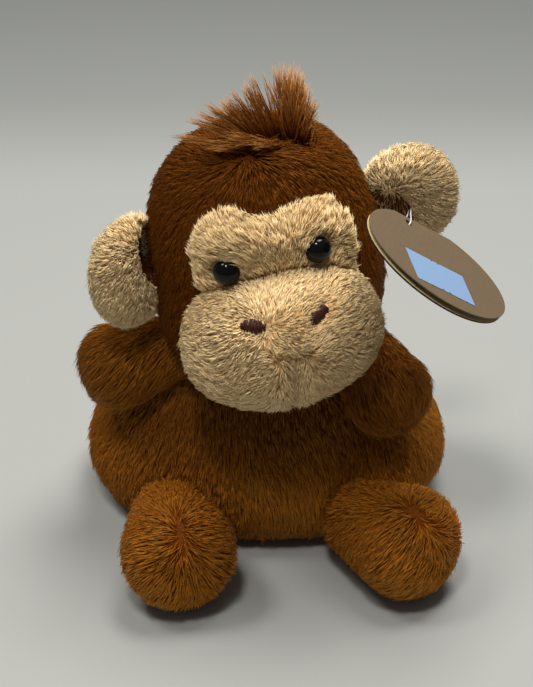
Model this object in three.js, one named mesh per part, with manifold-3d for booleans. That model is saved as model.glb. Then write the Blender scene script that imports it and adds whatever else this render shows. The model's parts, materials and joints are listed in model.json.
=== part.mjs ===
// A palm-sized plush monkey that sits on a table, about 130 mm high with its hair.
// Plush skins are thin shells round their stuffing. The limbs, ears and head are sewn on
// as soft balls and rolls in matching hollows, so they flop about their seams.
import * as THREE from 'three';
import { mergeVertices } from 'three/addons/utils/BufferGeometryUtils.js';
import Module from 'manifold-3d';

const wasm = await Module();
wasm.setup();

// Driving dimensions in millimetres and degrees. The toy faces -Y, so its own left is +X.
const seam_gap = 0.3;
const plush = 2.5;
const limb_plush = 2;

const body_form = { x: 51.5, y: 38.5, up: 39, down: 22, power: 2.25, crown: 1.5, base: 2.8 };
const body_widest_height = 16;
const neck_cut = 4.3;
const neck_opening = 8;
const bean_bag_form = { x: 33, y: 19, up: 7, down: 5, power: 2.4 };

const head_form = { x: 30.5, y: 28, up: 33.5, down: 33.5, power: 2.3 };
const head_place = { x: -0.6, y: -7 };
const head_cut = 2.2;
const head_turn = 8;
const head_roll = -11.5;
const neck_disc = 12.5;
const shoulder_relief = { start: 16.5, rise: 4.8, edge: 19.5, top: 6.8 };

const face_outline = [
  { x: 0, z: 18.2 }, { x: 11, z: 20.6 }, { x: 20.6, z: 9 }, { x: 18.5, z: -10 }, { x: 0, z: -20 },
];
const face_points = 32;
const muzzle_form = { x: 26, y: 19, up: 18.5, down: 18.5, power: 2.05 };
const muzzle_place = { x: -1.8, sink: 2.7, z: -14.4 };
const nostril_form = { x: 3.4, y: 1.3, up: 2, down: 2, power: 2 };
const nostril_place = { x: 8.2, z: 12.8, shift: 1 };
const nostril_slant = 24;

const eye_radius = 3.4;
const eye_dome = 2.7;
const eye_rim = 0.3;
const eye_shank_radius = 1.1;
const eye_shank_length = 8;
const eye_place = { x: 11.2, z: 8.1 };
const washer_radius = 4.2;
const washer_thickness = 1.2;
const washer_play = 0.35;

const ear_root_radius = 5;
const ear_root_half_length = 8;
const ear_root_sink = 1;
const ear_height = 3;
const ear_form = { x: 11, y: 6, up: 14.8, down: 14.8, power: 2.1 };
const ear_reach = 11.5;
const ear_web = { x: 8.5, y: 4.2, up: 12.5, down: 12.5, power: 2 };
const ear_web_reach = 6.5;
const ear_standoff = 3.5;
const ear_cup = { x: 6.5, y: 6, up: 9.5, down: 9.5, power: 2 };
const ear_cup_place = { x: 9, y: -7.2 };
const ear_left_fold = -4;
const ear_right_fold = 40;

const arm_size = { root: 7.5, swell: 11, widest: 16, length: 27, growth: 1.3 };
const arm_hold = 4.5;
const shoulder_place = { x: 22, y: -8 };
const arm_left_toward = { x: 0.5, y: -0.82, z: -0.4 };
const arm_right_toward = { x: -0.93, y: -0.3, z: -0.26 };

const leg_size = { root: 11.5, swell: 15.5, widest: 14, length: 28, growth: 2 };
const leg_hold = 3.6;
const hip_height = 13;
const leg_left_hip = 25.5;
const leg_right_hip = 24;
const leg_left_yaw = 44;
const leg_right_yaw = 10;
const leg_pitch = 8;
const table_gap = 0.3;

// How far each limb turns from its place in the photograph, and the way that it goes.
const arm_left_raise = 36;
const arm_left_raise_to = { x: 0.9, y: 0.1, z: 0.4 };
const arm_right_swing = 35;
const arm_right_swing_to = { x: 0.2, y: 0.8, z: 0.55 };
const leg_raise = 26;
const turning_clearance = 0.8;

const tuft_pad = { x: 10, y: 6, up: 4, down: 4, power: 2 };
const tuft_place = { x: 5, y: -6 };
const tuft_root = 3.2;
const tuft_tip = 0.6;
const tuft_spread = 0.45;
const tuft_locks = [
  { x: 9, y: -1, rise: 14 }, { x: 2, y: -2, rise: 12 }, { x: 17, y: 1, rise: 5 },
  { x: -6, y: -2, rise: 11 }, { x: -14, y: -2, rise: 8 }, { x: -21, y: -3, rise: 3.5 },
];

const tag_half_length = 22;
const tag_half_width = 16.3;
const tag_fold = 14.6;
const tag_board = 0.35;
const tag_leaf_gap = 0.5;
const tag_hole = { x: -5.6, y: 12.2 };
const tag_hole_radius = 1.3;
const tag_hang = { x: 3.3, y: -17.1, z: 2 };
const tag_along = { x: 0.774, y: 0.266, z: -0.574 };
const tag_up = { x: -0.194, y: 0.963, z: 0.185 };
const sticker_size = { x: 19, y: 11, z: 0.15 };
const sticker_place = { x: -2, y: -6.3 };
const sticker_glue = 0.2;
const filament = 0.3;
const filament_bend = 2;
const filament_depth = 1.3;
const filament_anchor = { x: 3.8, z: 1 };
const lock_size = 1.8;

const label_size = { x: 13, y: 16, z: 0.6 };
const label_root = 2;
const label_height = 12;
const label_slope = 38;

// Colours and surfaces.
const cloth = (color) => new THREE.MeshStandardMaterial({ color, roughness: 0.95, metalness: 0 });
const brown = cloth(0x8a5224);
const beige = cloth(0xd8bb8c);
const fibre = cloth(0xf2f0ea);
const pellet_cloth = cloth(0xdedad0);
const stitch = cloth(0x3a1c12);
const kraft = cloth(0xb08a5c);
const sticker_blue = cloth(0x9cc3f0);
const ribbon = cloth(0xf6f6f4);
const black_plastic = new THREE.MeshStandardMaterial({ color: 0x0a0808, roughness: 0.15 });
const clear_plastic = new THREE.MeshStandardMaterial({ color: 0xf4f4f4, roughness: 0.4 });
const white_plastic = new THREE.MeshStandardMaterial({ color: 0xe8e8e8, roughness: 0.5 });

// Solids
const radians = THREE.MathUtils.degToRad;
const right = new THREE.Vector3(1, 0, 0);
const back = new THREE.Vector3(0, 1, 0);
const up = new THREE.Vector3(0, 0, 1);
const no_scale = new THREE.Vector3(1, 1, 1);
const cutter = { across: 300, deep: 60 };

function solid(geometry) {
  geometry.deleteAttribute('normal');
  geometry.deleteAttribute('uv');
  const merged = mergeVertices(geometry, 1e-5);
  const index = merged.index.array;
  const triangles = [];
  for (let i = 0; i < index.length; i += 3) {
    const [a, b, c] = [index[i], index[i + 1], index[i + 2]];
    if (a !== b && b !== c && c !== a) triangles.push(a, b, c);
  }
  return new wasm.Manifold(new wasm.Mesh({
    numProp: 3,
    vertProperties: new Float32Array(merged.attributes.position.array),
    triVerts: new Uint32Array(triangles),
  }));
}

function placed(shape, matrix) {
  return shape.transform(matrix.elements);
}

function moved(shape, x, y, z) {
  return shape.translate([x, y, z]);
}

// The place of a shape moved to a point, with one of its own axes turned along a direction.
function aimed(point, own_axis, direction) {
  const turn = new THREE.Quaternion().setFromUnitVectors(own_axis, direction);
  return new THREE.Matrix4().compose(point, turn, no_scale);
}

function piece(name, shape, material) {
  const { vertProperties, triVerts } = shape.getMesh();
  const geometry = new THREE.BufferGeometry();
  geometry.setAttribute('position', new THREE.BufferAttribute(vertProperties, 3));
  geometry.setIndex(new THREE.BufferAttribute(triVerts, 1));
  geometry.computeVertexNormals();
  const mesh = new THREE.Mesh(geometry, material);
  mesh.name = name;
  return mesh;
}

// 1 on the surface of a stuffed form, less inside and more outside. The form is an ellipsoid
// with squarer sides, and has its own height and fullness above and below its widest line.
function level(form, x, y, z, inset = 0) {
  const bend = z > 0 ? form.crown ?? form.power : form.base ?? form.power;
  const vertical = (z > 0 ? form.up : form.down) - inset;
  const round = Math.abs(x / (form.x - inset)) ** form.power
    + Math.abs(y / (form.y - inset)) ** form.power;
  return (round ** (bend / form.power) + Math.abs(z / vertical) ** bend) ** (1 / bend);
}

function pillow(form, inset = 0, around = 20, rings = 12) {
  const geometry = new THREE.SphereGeometry(1, around, rings).rotateX(Math.PI / 2);
  const position = geometry.attributes.position;
  const point = new THREE.Vector3();
  for (let i = 0; i < position.count; i += 1) {
    point.fromBufferAttribute(position, i);
    point.divideScalar(level(form, point.x, point.y, point.z, inset));
    position.setXYZ(i, point.x, point.y, point.z);
  }
  return solid(geometry);
}

// The front of a stuffed form, as seen from the front at x and z from its centre.
function front_of(form, x, z) {
  const bend = z > 0 ? form.crown ?? form.power : form.base ?? form.power;
  const vertical = z > 0 ? form.up : form.down;
  const round = (1 - Math.abs(z / vertical) ** bend) ** (form.power / bend);
  return -form.y * (round - Math.abs(x / form.x) ** form.power) ** (1 / form.power);
}

function top_of(form, x, y) {
  const bend = form.crown ?? form.power;
  const round = Math.abs(x / form.x) ** form.power + Math.abs(y / form.y) ** form.power;
  return form.up * (1 - round ** (bend / form.power)) ** (1 / bend);
}

function outward(form, x, y, z) {
  const step = 0.01;
  const here = level(form, x, y, z);
  return new THREE.Vector3(
    level(form, x + step, y, z) - here,
    level(form, x, y + step, z) - here,
    level(form, x, y, z + step) - here,
  ).normalize();
}

function box(x, y, z) {
  return solid(new THREE.BoxGeometry(x, y, z));
}

function rod(radius, length, sides = 12) {
  return solid(new THREE.CylinderGeometry(radius, radius, length, sides).rotateX(Math.PI / 2));
}

function ball(radius, sides = 18, rings = 12) {
  return solid(new THREE.SphereGeometry(radius, sides, rings));
}

// A round hollow whose flat facets all clear a ball of the radius.
function hollow(radius, sides = 18, rings = 12) {
  return ball(radius / Math.cos(Math.PI / sides) / Math.cos(Math.PI / rings / 2), sides, rings);
}

// A sewn-on limb, along +Y from the middle of its root ball.
function limb(size, inset = 0) {
  const quarter = Math.PI / 2;
  const [root_steps, swell_steps, cap_steps] = [4, 3, 5];
  const cap_roundness = { across: 0.85, along: 0.95 };
  const root = size.root - inset;
  const swell = size.swell - inset;
  const cap = size.length - size.widest - inset;
  const points = [];
  for (let i = 0; i <= root_steps; i += 1) {
    const angle = i / root_steps * quarter;
    points.push(new THREE.Vector2(root * Math.sin(angle), -root * Math.cos(angle)));
  }
  for (let i = 1; i <= swell_steps; i += 1) {
    const share = i / swell_steps;
    const across = root + (swell - root) * share ** size.growth;
    points.push(new THREE.Vector2(across, size.widest * share));
  }
  for (let i = 1; i < cap_steps; i += 1) {
    const angle = i / cap_steps * quarter;
    const across = swell * Math.cos(angle) ** cap_roundness.across;
    points.push(new THREE.Vector2(across, size.widest + cap * Math.sin(angle) ** cap_roundness.along));
  }
  points.push(new THREE.Vector2(0, size.widest + cap));
  return solid(new THREE.LatheGeometry(points, 12));
}

// Body: a bean bag with a flat underside, round holes for its limbs and one at the neck.
const neck_height = body_widest_height + body_form.up - neck_cut;
const table = moved(box(cutter.across, cutter.across, cutter.deep), 0, 0, -cutter.deep / 2);

function body_solid(inset) {
  const form = moved(pillow(body_form, inset, 24, 12), 0, 0, body_widest_height);
  const above = moved(table, 0, 0, neck_height - inset + cutter.deep);
  return form.subtract(moved(table, 0, 0, inset)).subtract(above);
}

function body_out(x, y, z) {
  return outward(body_form, x, y, z - body_widest_height);
}

function pointing(yaw, pitch) {
  const turn = radians(yaw);
  const lift = radians(pitch);
  return new THREE.Vector3(
    Math.sin(turn) * Math.cos(lift), -Math.cos(turn) * Math.cos(lift), Math.sin(lift));
}

// A limb turns about its root ball, which stands out from the body by its hold.
function set_limb(size, hold, root, toward, swing) {
  const out = body_out(root.x, root.y, root.z);
  const pivot = root.clone().addScaledVector(out, hold);
  const along = new THREE.Vector3().copy(toward).normalize();
  const axis = along.clone().cross(swing.to).normalize();
  return { size, pivot, along, axis, range: swing.range };
}

function shoulder(side) {
  const height = body_widest_height + top_of(body_form, shoulder_place.x, shoulder_place.y);
  return new THREE.Vector3(side * shoulder_place.x, shoulder_place.y, height);
}

function hip(x) {
  return new THREE.Vector3(x, front_of(body_form, x, hip_height - body_widest_height), hip_height);
}

const raised = { to: up, range: leg_raise };
const limbs = {
  arm_left: set_limb(arm_size, arm_hold, shoulder(1), arm_left_toward, {
    to: arm_left_raise_to, range: arm_left_raise,
  }),
  arm_right: set_limb(arm_size, arm_hold, shoulder(-1), arm_right_toward, {
    to: arm_right_swing_to, range: arm_right_swing,
  }),
  leg_left: set_limb(
    leg_size, leg_hold, hip(leg_left_hip), pointing(leg_left_yaw, leg_pitch), raised),
  leg_right: set_limb(
    leg_size, leg_hold, hip(-leg_right_hip), pointing(leg_right_yaw, leg_pitch), raised),
};

function limb_holes(extra) {
  const holes = Object.values(limbs).map(({ size, pivot }) => (
    moved(hollow(size.root + extra), pivot.x, pivot.y, pivot.z)));
  return wasm.Manifold.union(holes);
}

const neck_hole = moved(rod(neck_opening, 2 * neck_opening, 16), 0, 0, neck_height);
const label_matrix = new THREE.Matrix4()
  .makeRotationX(radians(-label_slope))
  .setPosition(0, -front_of(body_form, 0, label_height - body_widest_height), label_height);

function label_solid(extra) {
  const { x, y, z } = label_size;
  const ribbon_box = box(x + 2 * extra, y + 2 * extra, z + 2 * extra);
  return placed(moved(ribbon_box, 0, y / 2 - label_root, 0), label_matrix);
}

const bean_bag_height = plush + seam_gap + bean_bag_form.down;
const bean_bag = moved(pillow(bean_bag_form, 0, 16, 6), 0, 0, bean_bag_height);
const bean_bag_room = moved(pillow(bean_bag_form, -seam_gap, 16, 6), 0, 0, bean_bag_height);
const body_skin = body_solid(0)
  .subtract(body_solid(plush))
  .subtract(neck_hole)
  .subtract(limb_holes(seam_gap))
  .subtract(label_solid(seam_gap));
const body_stuffing = body_solid(plush + seam_gap)
  .subtract(limb_holes(2 * seam_gap))
  .subtract(bean_bag_room);

// Limbs: each a skin open at the root, round its stuffing, and pressed flat where it lies on
// the body. Its root ball sits in the body's round hole, and it clears the body as it turns.
function beside_body({ size, pivot, axis, range }, inset) {
  const spared = moved(ball(size.root + seam_gap / 2 - inset), pivot.x, pivot.y, pivot.z);
  const pressed = [0, 0.5, 1].map((share) => {
    const grown = (share > 0 ? turning_clearance : seam_gap) + inset;
    const form = moved(pillow(body_form, -grown, 24, 12), 0, 0, body_widest_height);
    const turn = new THREE.Matrix4().makeRotationAxis(axis, -radians(share * range));
    const about_pivot = moved(form, -pivot.x, -pivot.y, -pivot.z);
    return moved(placed(about_pivot, turn), pivot.x, pivot.y, pivot.z);
  });
  return wasm.Manifold.union(pressed).subtract(spared);
}

function sewn_limb(name, spec) {
  const { size, pivot, along } = spec;
  const matrix = aimed(pivot, back, along);
  const mouth = solid(new THREE.CylinderGeometry(size.root / 2, size.root / 2, size.root, 10));
  const opening = placed(moved(mouth, 0, -size.root, 0), matrix);
  const limb_solid = (inset) => placed(limb(size, inset), matrix)
    .subtract(beside_body(spec, inset))
    .subtract(moved(table, 0, 0, table_gap + inset));
  const group = new THREE.Group();
  const skin = limb_solid(0).subtract(limb_solid(limb_plush)).subtract(opening);
  group.add(piece(`${name}_skin`, skin, brown));
  group.add(piece(`${name}_stuffing`, limb_solid(limb_plush + seam_gap), fibre));
  return group;
}

// Head: its shapes are written about its own centre, then turned and tilted as one.
const head_height = neck_height + head_form.down - head_cut;
const head_matrix = new THREE.Matrix4()
  .makeRotationZ(radians(head_turn))
  .multiply(new THREE.Matrix4().makeRotationY(radians(head_roll)))
  .setPosition(head_place.x, head_place.y, head_height);
const head_inverse = head_matrix.clone().invert();

// All that the head leaves free for the neck and the shoulders, as a turned shape.
function below_head(inset) {
  const { start, rise, edge, top } = shoulder_relief;
  const profile = [
    [0, -cutter.deep], [cutter.across / 2, -cutter.deep], [cutter.across / 2, top + 1],
    [edge, top], [start, rise], [neck_disc - inset, 0], [0, 0],
  ];
  const points = profile.map(([radius, height]) => new THREE.Vector2(radius, height));
  const shape = solid(new THREE.LatheGeometry(points, 24).rotateX(Math.PI / 2));
  const lifted = moved(shape, head_place.x, head_place.y, neck_height + seam_gap + inset);
  return placed(lifted, head_inverse);
}

function head_solid(inset) {
  return pillow(head_form, inset).subtract(below_head(inset));
}

// The face patch's edge: a lobe over each eye, with a dip between them.
function face_edge(extra) {
  const right_side = face_outline.map(({ x, z }) => new THREE.Vector3(x, z, 0));
  const left_side = face_outline.slice(1, -1).reverse().map(({ x, z }) => new THREE.Vector3(-x, z, 0));
  const edge = new THREE.CatmullRomCurve3([...right_side, ...left_side], true);
  return edge.getPoints(face_points).slice(0, face_points).map((point) => {
    const grown = point.setLength(point.length() + extra);
    return new THREE.Vector2(grown.x, grown.y);
  });
}

function face_prism(extra) {
  const options = { depth: 2 * head_form.y, bevelEnabled: false };
  const shape = new THREE.Shape(face_edge(extra));
  return solid(new THREE.ExtrudeGeometry(shape, options).rotateX(Math.PI / 2));
}

function eye_frame(side) {
  const x = side * eye_place.x;
  const y = front_of(head_form, x, eye_place.z);
  const out = outward(head_form, x, y, eye_place.z);
  return aimed(new THREE.Vector3(x, y, eye_place.z), up, out);
}

const washer_depth = plush + 2 * seam_gap + washer_thickness / 2 + washer_play;

function both_eyes(radius, depth) {
  const hole = rod(radius, depth * 2);
  return placed(hole, eye_frame(1)).add(placed(hole, eye_frame(-1)));
}

function ear_root(extra) {
  return solid(new THREE.CapsuleGeometry(
    ear_root_radius + extra, 2 * ear_root_half_length, 3, 12).rotateX(Math.PI / 2));
}

const ear_axis_x = head_form.x - ear_root_sink;
const ear_hollows = (extra) => wasm.Manifold.union([1, -1].map((side) => (
  moved(ear_root(extra), side * ear_axis_x, 0, ear_height))));

const head_shell = head_solid(0).subtract(head_solid(plush));
const neck_channel = placed(
  moved(rod(neck_opening, 2 * neck_opening, 16), head_place.x, head_place.y, neck_height),
  head_inverse);
const head_skin = head_shell
  .subtract(face_prism(seam_gap))
  .subtract(neck_channel)
  .subtract(ear_hollows(seam_gap));
const face_patch = head_shell
  .intersect(face_prism(0))
  .subtract(both_eyes(eye_shank_radius + seam_gap, eye_shank_length + seam_gap));
const head_stuffing = head_solid(plush + seam_gap)
  .subtract(ear_hollows(2 * seam_gap))
  .subtract(both_eyes(washer_radius + seam_gap, eye_shank_length + seam_gap));

// Muzzle: a beige cup open to the head, round its own stuffing.
const head_room = pillow(head_form, -seam_gap);
const muzzle_at = (shape) => (
  moved(shape, muzzle_place.x, muzzle_place.sink - head_form.y, muzzle_place.z));
const muzzle_skin = muzzle_at(pillow(muzzle_form, 0, 18, 10))
  .subtract(muzzle_at(pillow(muzzle_form, plush, 18, 10)))
  .subtract(head_room);
const muzzle_stuffing = muzzle_at(pillow(muzzle_form, plush + seam_gap, 18, 10))
  .subtract(head_room);

function nostril(side) {
  const x = nostril_place.shift + side * nostril_place.x;
  const y = front_of(muzzle_form, x, nostril_place.z);
  const inward = outward(muzzle_form, x, y, nostril_place.z).negate();
  const matrix = aimed(new THREE.Vector3(x, y, nostril_place.z), back, inward)
    .multiply(new THREE.Matrix4().makeRotationY(radians(-side * nostril_slant)));
  const pad = placed(pillow(nostril_form, 0, 10, 6), matrix);
  return muzzle_at(pad.subtract(pillow(muzzle_form, -seam_gap, 18, 10)));
}

// Eyes: a domed button whose shank passes through the face to a washer inside.
function eye(side) {
  const points = [
    new THREE.Vector2(0, -eye_shank_length),
    new THREE.Vector2(eye_shank_radius, -eye_shank_length),
    new THREE.Vector2(eye_shank_radius, seam_gap),
    new THREE.Vector2(eye_radius, seam_gap),
  ];
  const dome_steps = 5;
  for (let i = 0; i < dome_steps; i += 1) {
    const angle = i / dome_steps * Math.PI / 2;
    const rise = seam_gap + eye_rim + eye_dome * Math.sin(angle);
    points.push(new THREE.Vector2(eye_radius * Math.cos(angle), rise));
  }
  points.push(new THREE.Vector2(0, seam_gap + eye_rim + eye_dome));
  return placed(solid(new THREE.LatheGeometry(points, 14).rotateX(Math.PI / 2)), eye_frame(side));
}

function eye_washer(side) {
  const disc = rod(washer_radius, washer_thickness, 14);
  const ring = disc.subtract(rod(eye_shank_radius + seam_gap, 2 * washer_thickness));
  return placed(moved(ring, 0, 0, -washer_depth), eye_frame(side));
}

// Ears: a cupped disc on a rolled root that lies in a hollow in the side of the head.
function ear_shape() {
  const beside_head = moved(pillow(head_form, -ear_standoff), -ear_axis_x, 0, -ear_height);
  const disc = moved(pillow(ear_form, 0, 14, 8), ear_reach, 0, 0);
  const web = moved(pillow(ear_web, 0, 10, 6), ear_web_reach, 0, 0);
  const cup = moved(pillow(ear_cup, 0, 12, 8), ear_cup_place.x, ear_cup_place.y, 0);
  return disc.subtract(beside_head).add(web).add(ear_root(0)).subtract(cup);
}

function sewn_ear(side, fold) {
  const folded = ear_shape().rotate([0, 0, -fold]);
  const handed = side === 1 ? folded : folded.mirror([1, 0, 0]);
  return moved(handed, side * ear_axis_x, 0, ear_height);
}

// Hair: a pad on the crown with tapering locks. Their tips are told from the pad's middle.
const crown_height = top_of(head_form, tuft_place.x, tuft_place.y);
const crown = new THREE.Vector3(tuft_place.x, tuft_place.y, crown_height);

function lock({ x, y, rise }) {
  const root = crown.clone().addScaledVector(right, x * tuft_spread);
  const along = new THREE.Vector3(x, y, rise).add(crown).sub(root);
  const cone = solid(new THREE.CylinderGeometry(tuft_tip, tuft_root, along.length(), 6));
  const middle = root.addScaledVector(along, 0.5);
  return placed(cone, aimed(middle, back, along.normalize()));
}

const hair_tuft = wasm.Manifold.union(tuft_locks.map(lock))
  .add(moved(pillow(tuft_pad, 0, 12, 6), crown.x, crown.y, crown.z))
  .subtract(head_room);

// Hang tag: one folded card, with a loop of filament from its hole to the left ear's root.
const anchor_front = Math.sqrt(ear_root_radius ** 2 - filament_anchor.x ** 2);
const anchor_point = new THREE.Vector3(
  ear_axis_x + filament_anchor.x, -anchor_front, ear_height + filament_anchor.z).applyMatrix4(head_matrix);
const hole_point = new THREE.Vector3().copy(tag_hang).add(anchor_point);
const tag_x = new THREE.Vector3().copy(tag_along).normalize();
const tag_z = new THREE.Vector3().crossVectors(tag_x, tag_up).normalize();
const tag_y = new THREE.Vector3().crossVectors(tag_z, tag_x);
const tag_matrix = new THREE.Matrix4().makeBasis(tag_x, tag_y, tag_z).setPosition(hole_point)
  .multiply(new THREE.Matrix4().makeTranslation(-tag_hole.x, -tag_hole.y, 0));
const tag_thickness = 2 * tag_board + tag_leaf_gap;

function tag_card() {
  const outline = new THREE.Shape();
  outline.absellipse(0, 0, tag_half_length, tag_half_width, 0, 2 * Math.PI, false, 0);
  const options = { depth: tag_thickness, bevelEnabled: false, curveSegments: 10 };
  const blank = moved(solid(new THREE.ExtrudeGeometry(outline, options)), 0, 0, -tag_thickness / 2);
  const over_fold = box(cutter.across, cutter.deep, cutter.deep);
  const between = box(cutter.across, cutter.deep, tag_leaf_gap);
  return blank
    .subtract(moved(over_fold, 0, tag_fold + cutter.deep / 2, 0))
    .subtract(moved(between, 0, tag_fold - tag_board - cutter.deep / 2, 0))
    .subtract(moved(rod(tag_hole_radius, cutter.deep), tag_hole.x, tag_hole.y, 0));
}

function price_sticker() {
  const { x, y, z } = sticker_size;
  const height = tag_thickness / 2 + sticker_glue + z / 2;
  return moved(box(x, y, z), sticker_place.x, sticker_place.y, height);
}

const loop_x = anchor_point.clone().sub(hole_point).normalize();
const loop_y = new THREE.Vector3().crossVectors(tag_z, loop_x).normalize();
const loop_z = new THREE.Vector3().crossVectors(loop_x, loop_y);
const loop_matrix = new THREE.Matrix4().makeBasis(loop_x, loop_y, loop_z).setPosition(hole_point);
const loop_length = anchor_point.distanceTo(hole_point) + filament_depth;

function filament_loop(extra) {
  const geometry = new THREE.TorusGeometry(filament_bend, filament + extra, 6, 16);
  const position = geometry.attributes.position;
  const stretch = loop_length / 2 - filament_bend;
  for (let i = 0; i < position.count; i += 1) {
    const x = position.getX(i);
    position.setX(i, x + Math.sign(Math.round(x * 1e3)) * stretch);
  }
  const loop = moved(solid(geometry.rotateX(Math.PI / 2)), loop_length / 2, 0, 0);
  return placed(loop, loop_matrix);
}

const lock_bead = placed(
  moved(box(lock_size, lock_size, lock_size), loop_length / 2, 0, filament_bend), loop_matrix);
const tag_fastener = filament_loop(0).add(lock_bead);
const fastener_room = placed(filament_loop(seam_gap), head_inverse);

// The whole toy
const toy = new THREE.Group();
toy.add(piece('body_skin', body_skin, brown));
toy.add(piece('body_stuffing', body_stuffing, fibre));
toy.add(piece('bean_bag', bean_bag, pellet_cloth));
toy.add(piece('care_label', label_solid(0), ribbon));
for (const [name, spec] of Object.entries(limbs)) toy.add(sewn_limb(name, spec));

const head = new THREE.Group();
head_matrix.decompose(head.position, head.quaternion, head.scale);
head.add(piece('head_skin', head_skin, brown));
head.add(piece('head_stuffing', head_stuffing, fibre));
head.add(piece('face_patch', face_patch, beige));
head.add(piece('muzzle_skin', muzzle_skin, beige));
head.add(piece('muzzle_stuffing', muzzle_stuffing, fibre));
head.add(piece('hair_tuft', hair_tuft, brown));
head.add(piece('ear_left', sewn_ear(1, ear_left_fold).subtract(fastener_room), beige));
head.add(piece('ear_right', sewn_ear(-1, ear_right_fold), beige));
for (const [side, name] of [[1, 'left'], [-1, 'right']]) {
  head.add(piece(`nostril_${name}`, nostril(side), stitch));
  head.add(piece(`eye_${name}`, eye(side), black_plastic));
  head.add(piece(`eye_washer_${name}`, eye_washer(side), white_plastic));
}
toy.add(head);

const tag = new THREE.Group();
tag_matrix.decompose(tag.position, tag.quaternion, tag.scale);
tag.add(piece('hang_tag', tag_card(), kraft));
tag.add(piece('price_sticker', price_sticker(), sticker_blue));
toy.add(tag);
toy.add(piece('tag_fastener', tag_fastener, clear_plastic));

export default toy;
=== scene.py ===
import json
import math

import bpy
import numpy as np
from mathutils import Matrix, Vector
from mathutils.bvhtree import BVHTree
from mathutils.kdtree import KDTree


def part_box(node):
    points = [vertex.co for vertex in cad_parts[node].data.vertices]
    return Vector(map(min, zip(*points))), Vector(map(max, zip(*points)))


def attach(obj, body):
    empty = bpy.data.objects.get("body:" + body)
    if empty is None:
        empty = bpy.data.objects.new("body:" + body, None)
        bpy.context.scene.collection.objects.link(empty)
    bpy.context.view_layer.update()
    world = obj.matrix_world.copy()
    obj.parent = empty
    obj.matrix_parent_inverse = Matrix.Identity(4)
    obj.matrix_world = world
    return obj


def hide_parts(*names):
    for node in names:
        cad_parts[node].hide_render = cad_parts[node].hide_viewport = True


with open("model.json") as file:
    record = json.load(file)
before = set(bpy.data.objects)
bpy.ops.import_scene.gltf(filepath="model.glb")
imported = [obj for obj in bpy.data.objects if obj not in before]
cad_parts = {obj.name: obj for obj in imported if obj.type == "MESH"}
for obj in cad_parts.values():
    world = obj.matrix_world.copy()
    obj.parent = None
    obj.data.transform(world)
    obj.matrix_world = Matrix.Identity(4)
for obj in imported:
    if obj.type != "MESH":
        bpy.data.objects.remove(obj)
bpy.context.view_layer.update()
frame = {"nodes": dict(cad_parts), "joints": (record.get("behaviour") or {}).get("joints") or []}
joints = {joint["name"]: joint for joint in frame["joints"]}


# Table, light and camera
# The toy sits on a pale matt table that ends at a grey wall, under three soft square lamps. It
# is seen from in front and above.
view_elevation = math.radians(33)
view_distance = 0.4
view_target = Vector((0, -0.008, 0.05))
focal_pixels = 1480
picture_height = 687
table_width = 4
table_front = -2.0
table_back = 0.275
table_fade = 0.1
table_near = 0.35
table_far = 0.9
table_color = (0.385, 0.385, 0.355, 1)
table_roughness = 0.7
wall_near = (0.376, 0.381, 0.353, 1)
wall_far = (0.27, 0.275, 0.256, 1)
wall_near_rise = -0.41
wall_far_rise = -0.34
room_color = (0.95, 0.97, 1, 1)
room_strength = 0.12
lamps = {
    "front_lamp": dict(place=(-0.1, -0.29, 0.82), size=0.14, power=2.5),
    "back_lamp": dict(place=(0.16, 0.2, 0.85), size=0.4, power=6.6),
    "left_lamp": dict(place=(-0.42, 0.02, 0.8), size=0.22, power=2.3)}


def feed(tree, node, sockets):
    """Sets a node's sockets to values, or links them to other nodes' outputs."""
    for name, value in sockets.items():
        if isinstance(value, bpy.types.NodeSocket):
            tree.links.new(value, node.inputs[name])
        else:
            node.inputs[name].default_value = value


def add_node(tree, kind, sockets=None, **settings):
    """Adds a shader node and gives its outputs."""
    node = tree.nodes.new("ShaderNode" + kind)
    for name, value in settings.items():
        setattr(node, name, value)
    feed(tree, node, sockets or {})
    return node.outputs


def mapped(tree, value, low, high, start=0, end=1, smooth=False):
    """A value that runs from start to end where another runs from low to high."""
    return add_node(
        tree, "MapRange",
        {"Value": value, "From Min": low, "From Max": high, "To Min": start, "To Max": end},
        interpolation_type="SMOOTHSTEP" if smooth else "LINEAR")["Result"]


def mixed(tree, share, first, second):
    """A colour between two others."""
    return add_node(
        tree, "Mix", {"Factor": share, "A": first, "B": second}, data_type="RGBA")["Result"]


def texture(tree, kind, output, **sockets):
    """A texture that keeps its place on the piece."""
    place = add_node(tree, "TexCoord")["Object"]
    return add_node(tree, "Tex" + kind, {"Vector": place, **sockets})[output]


def new_material(name):
    """A new material, its node tree and its shader."""
    material = bpy.data.materials.new(name)
    material.use_nodes = True
    return material, material.node_tree, material.node_tree.nodes["Principled BSDF"]


bpy.ops.object.camera_add()
camera = bpy.context.object
camera.data.lens = camera.data.sensor_width * focal_pixels / picture_height
backward = Vector((0, -math.cos(view_elevation), math.sin(view_elevation)))
camera.location = view_target + view_distance * backward
camera.rotation_euler = (math.pi / 2 - view_elevation, 0, 0)
bpy.context.scene.camera = camera
bpy.context.scene.view_settings.view_transform = "Standard"

bpy.ops.mesh.primitive_plane_add(size=1)
table = bpy.context.object
table.name = "table"
table.scale = (table_width, table_back - table_front, 1)
table.location = (0, (table_back + table_front) / 2, 0)
bpy.ops.object.transform_apply(location=True, rotation=True, scale=True)
table_material, tree, shader = new_material("matt table")
place = add_node(tree, "TexCoord")["Object"]
depth = add_node(tree, "SeparateXYZ", {0: place})["Y"]
away = add_node(tree, "VectorMath", {0: place}, operation="LENGTH")["Value"]
back_fade = mapped(tree, depth, table_back - table_fade, table_back, 1, 0, smooth=True)
far_fade = mapped(tree, away, table_near, table_far, 1, 0, smooth=True)
least = add_node(tree, "Math", {0: back_fade, 1: far_fade}, operation="MINIMUM")[0]
feed(tree, shader, {"Base Color": table_color, "Roughness": table_roughness, "Alpha": least})
table.data.materials.append(table_material)

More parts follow.
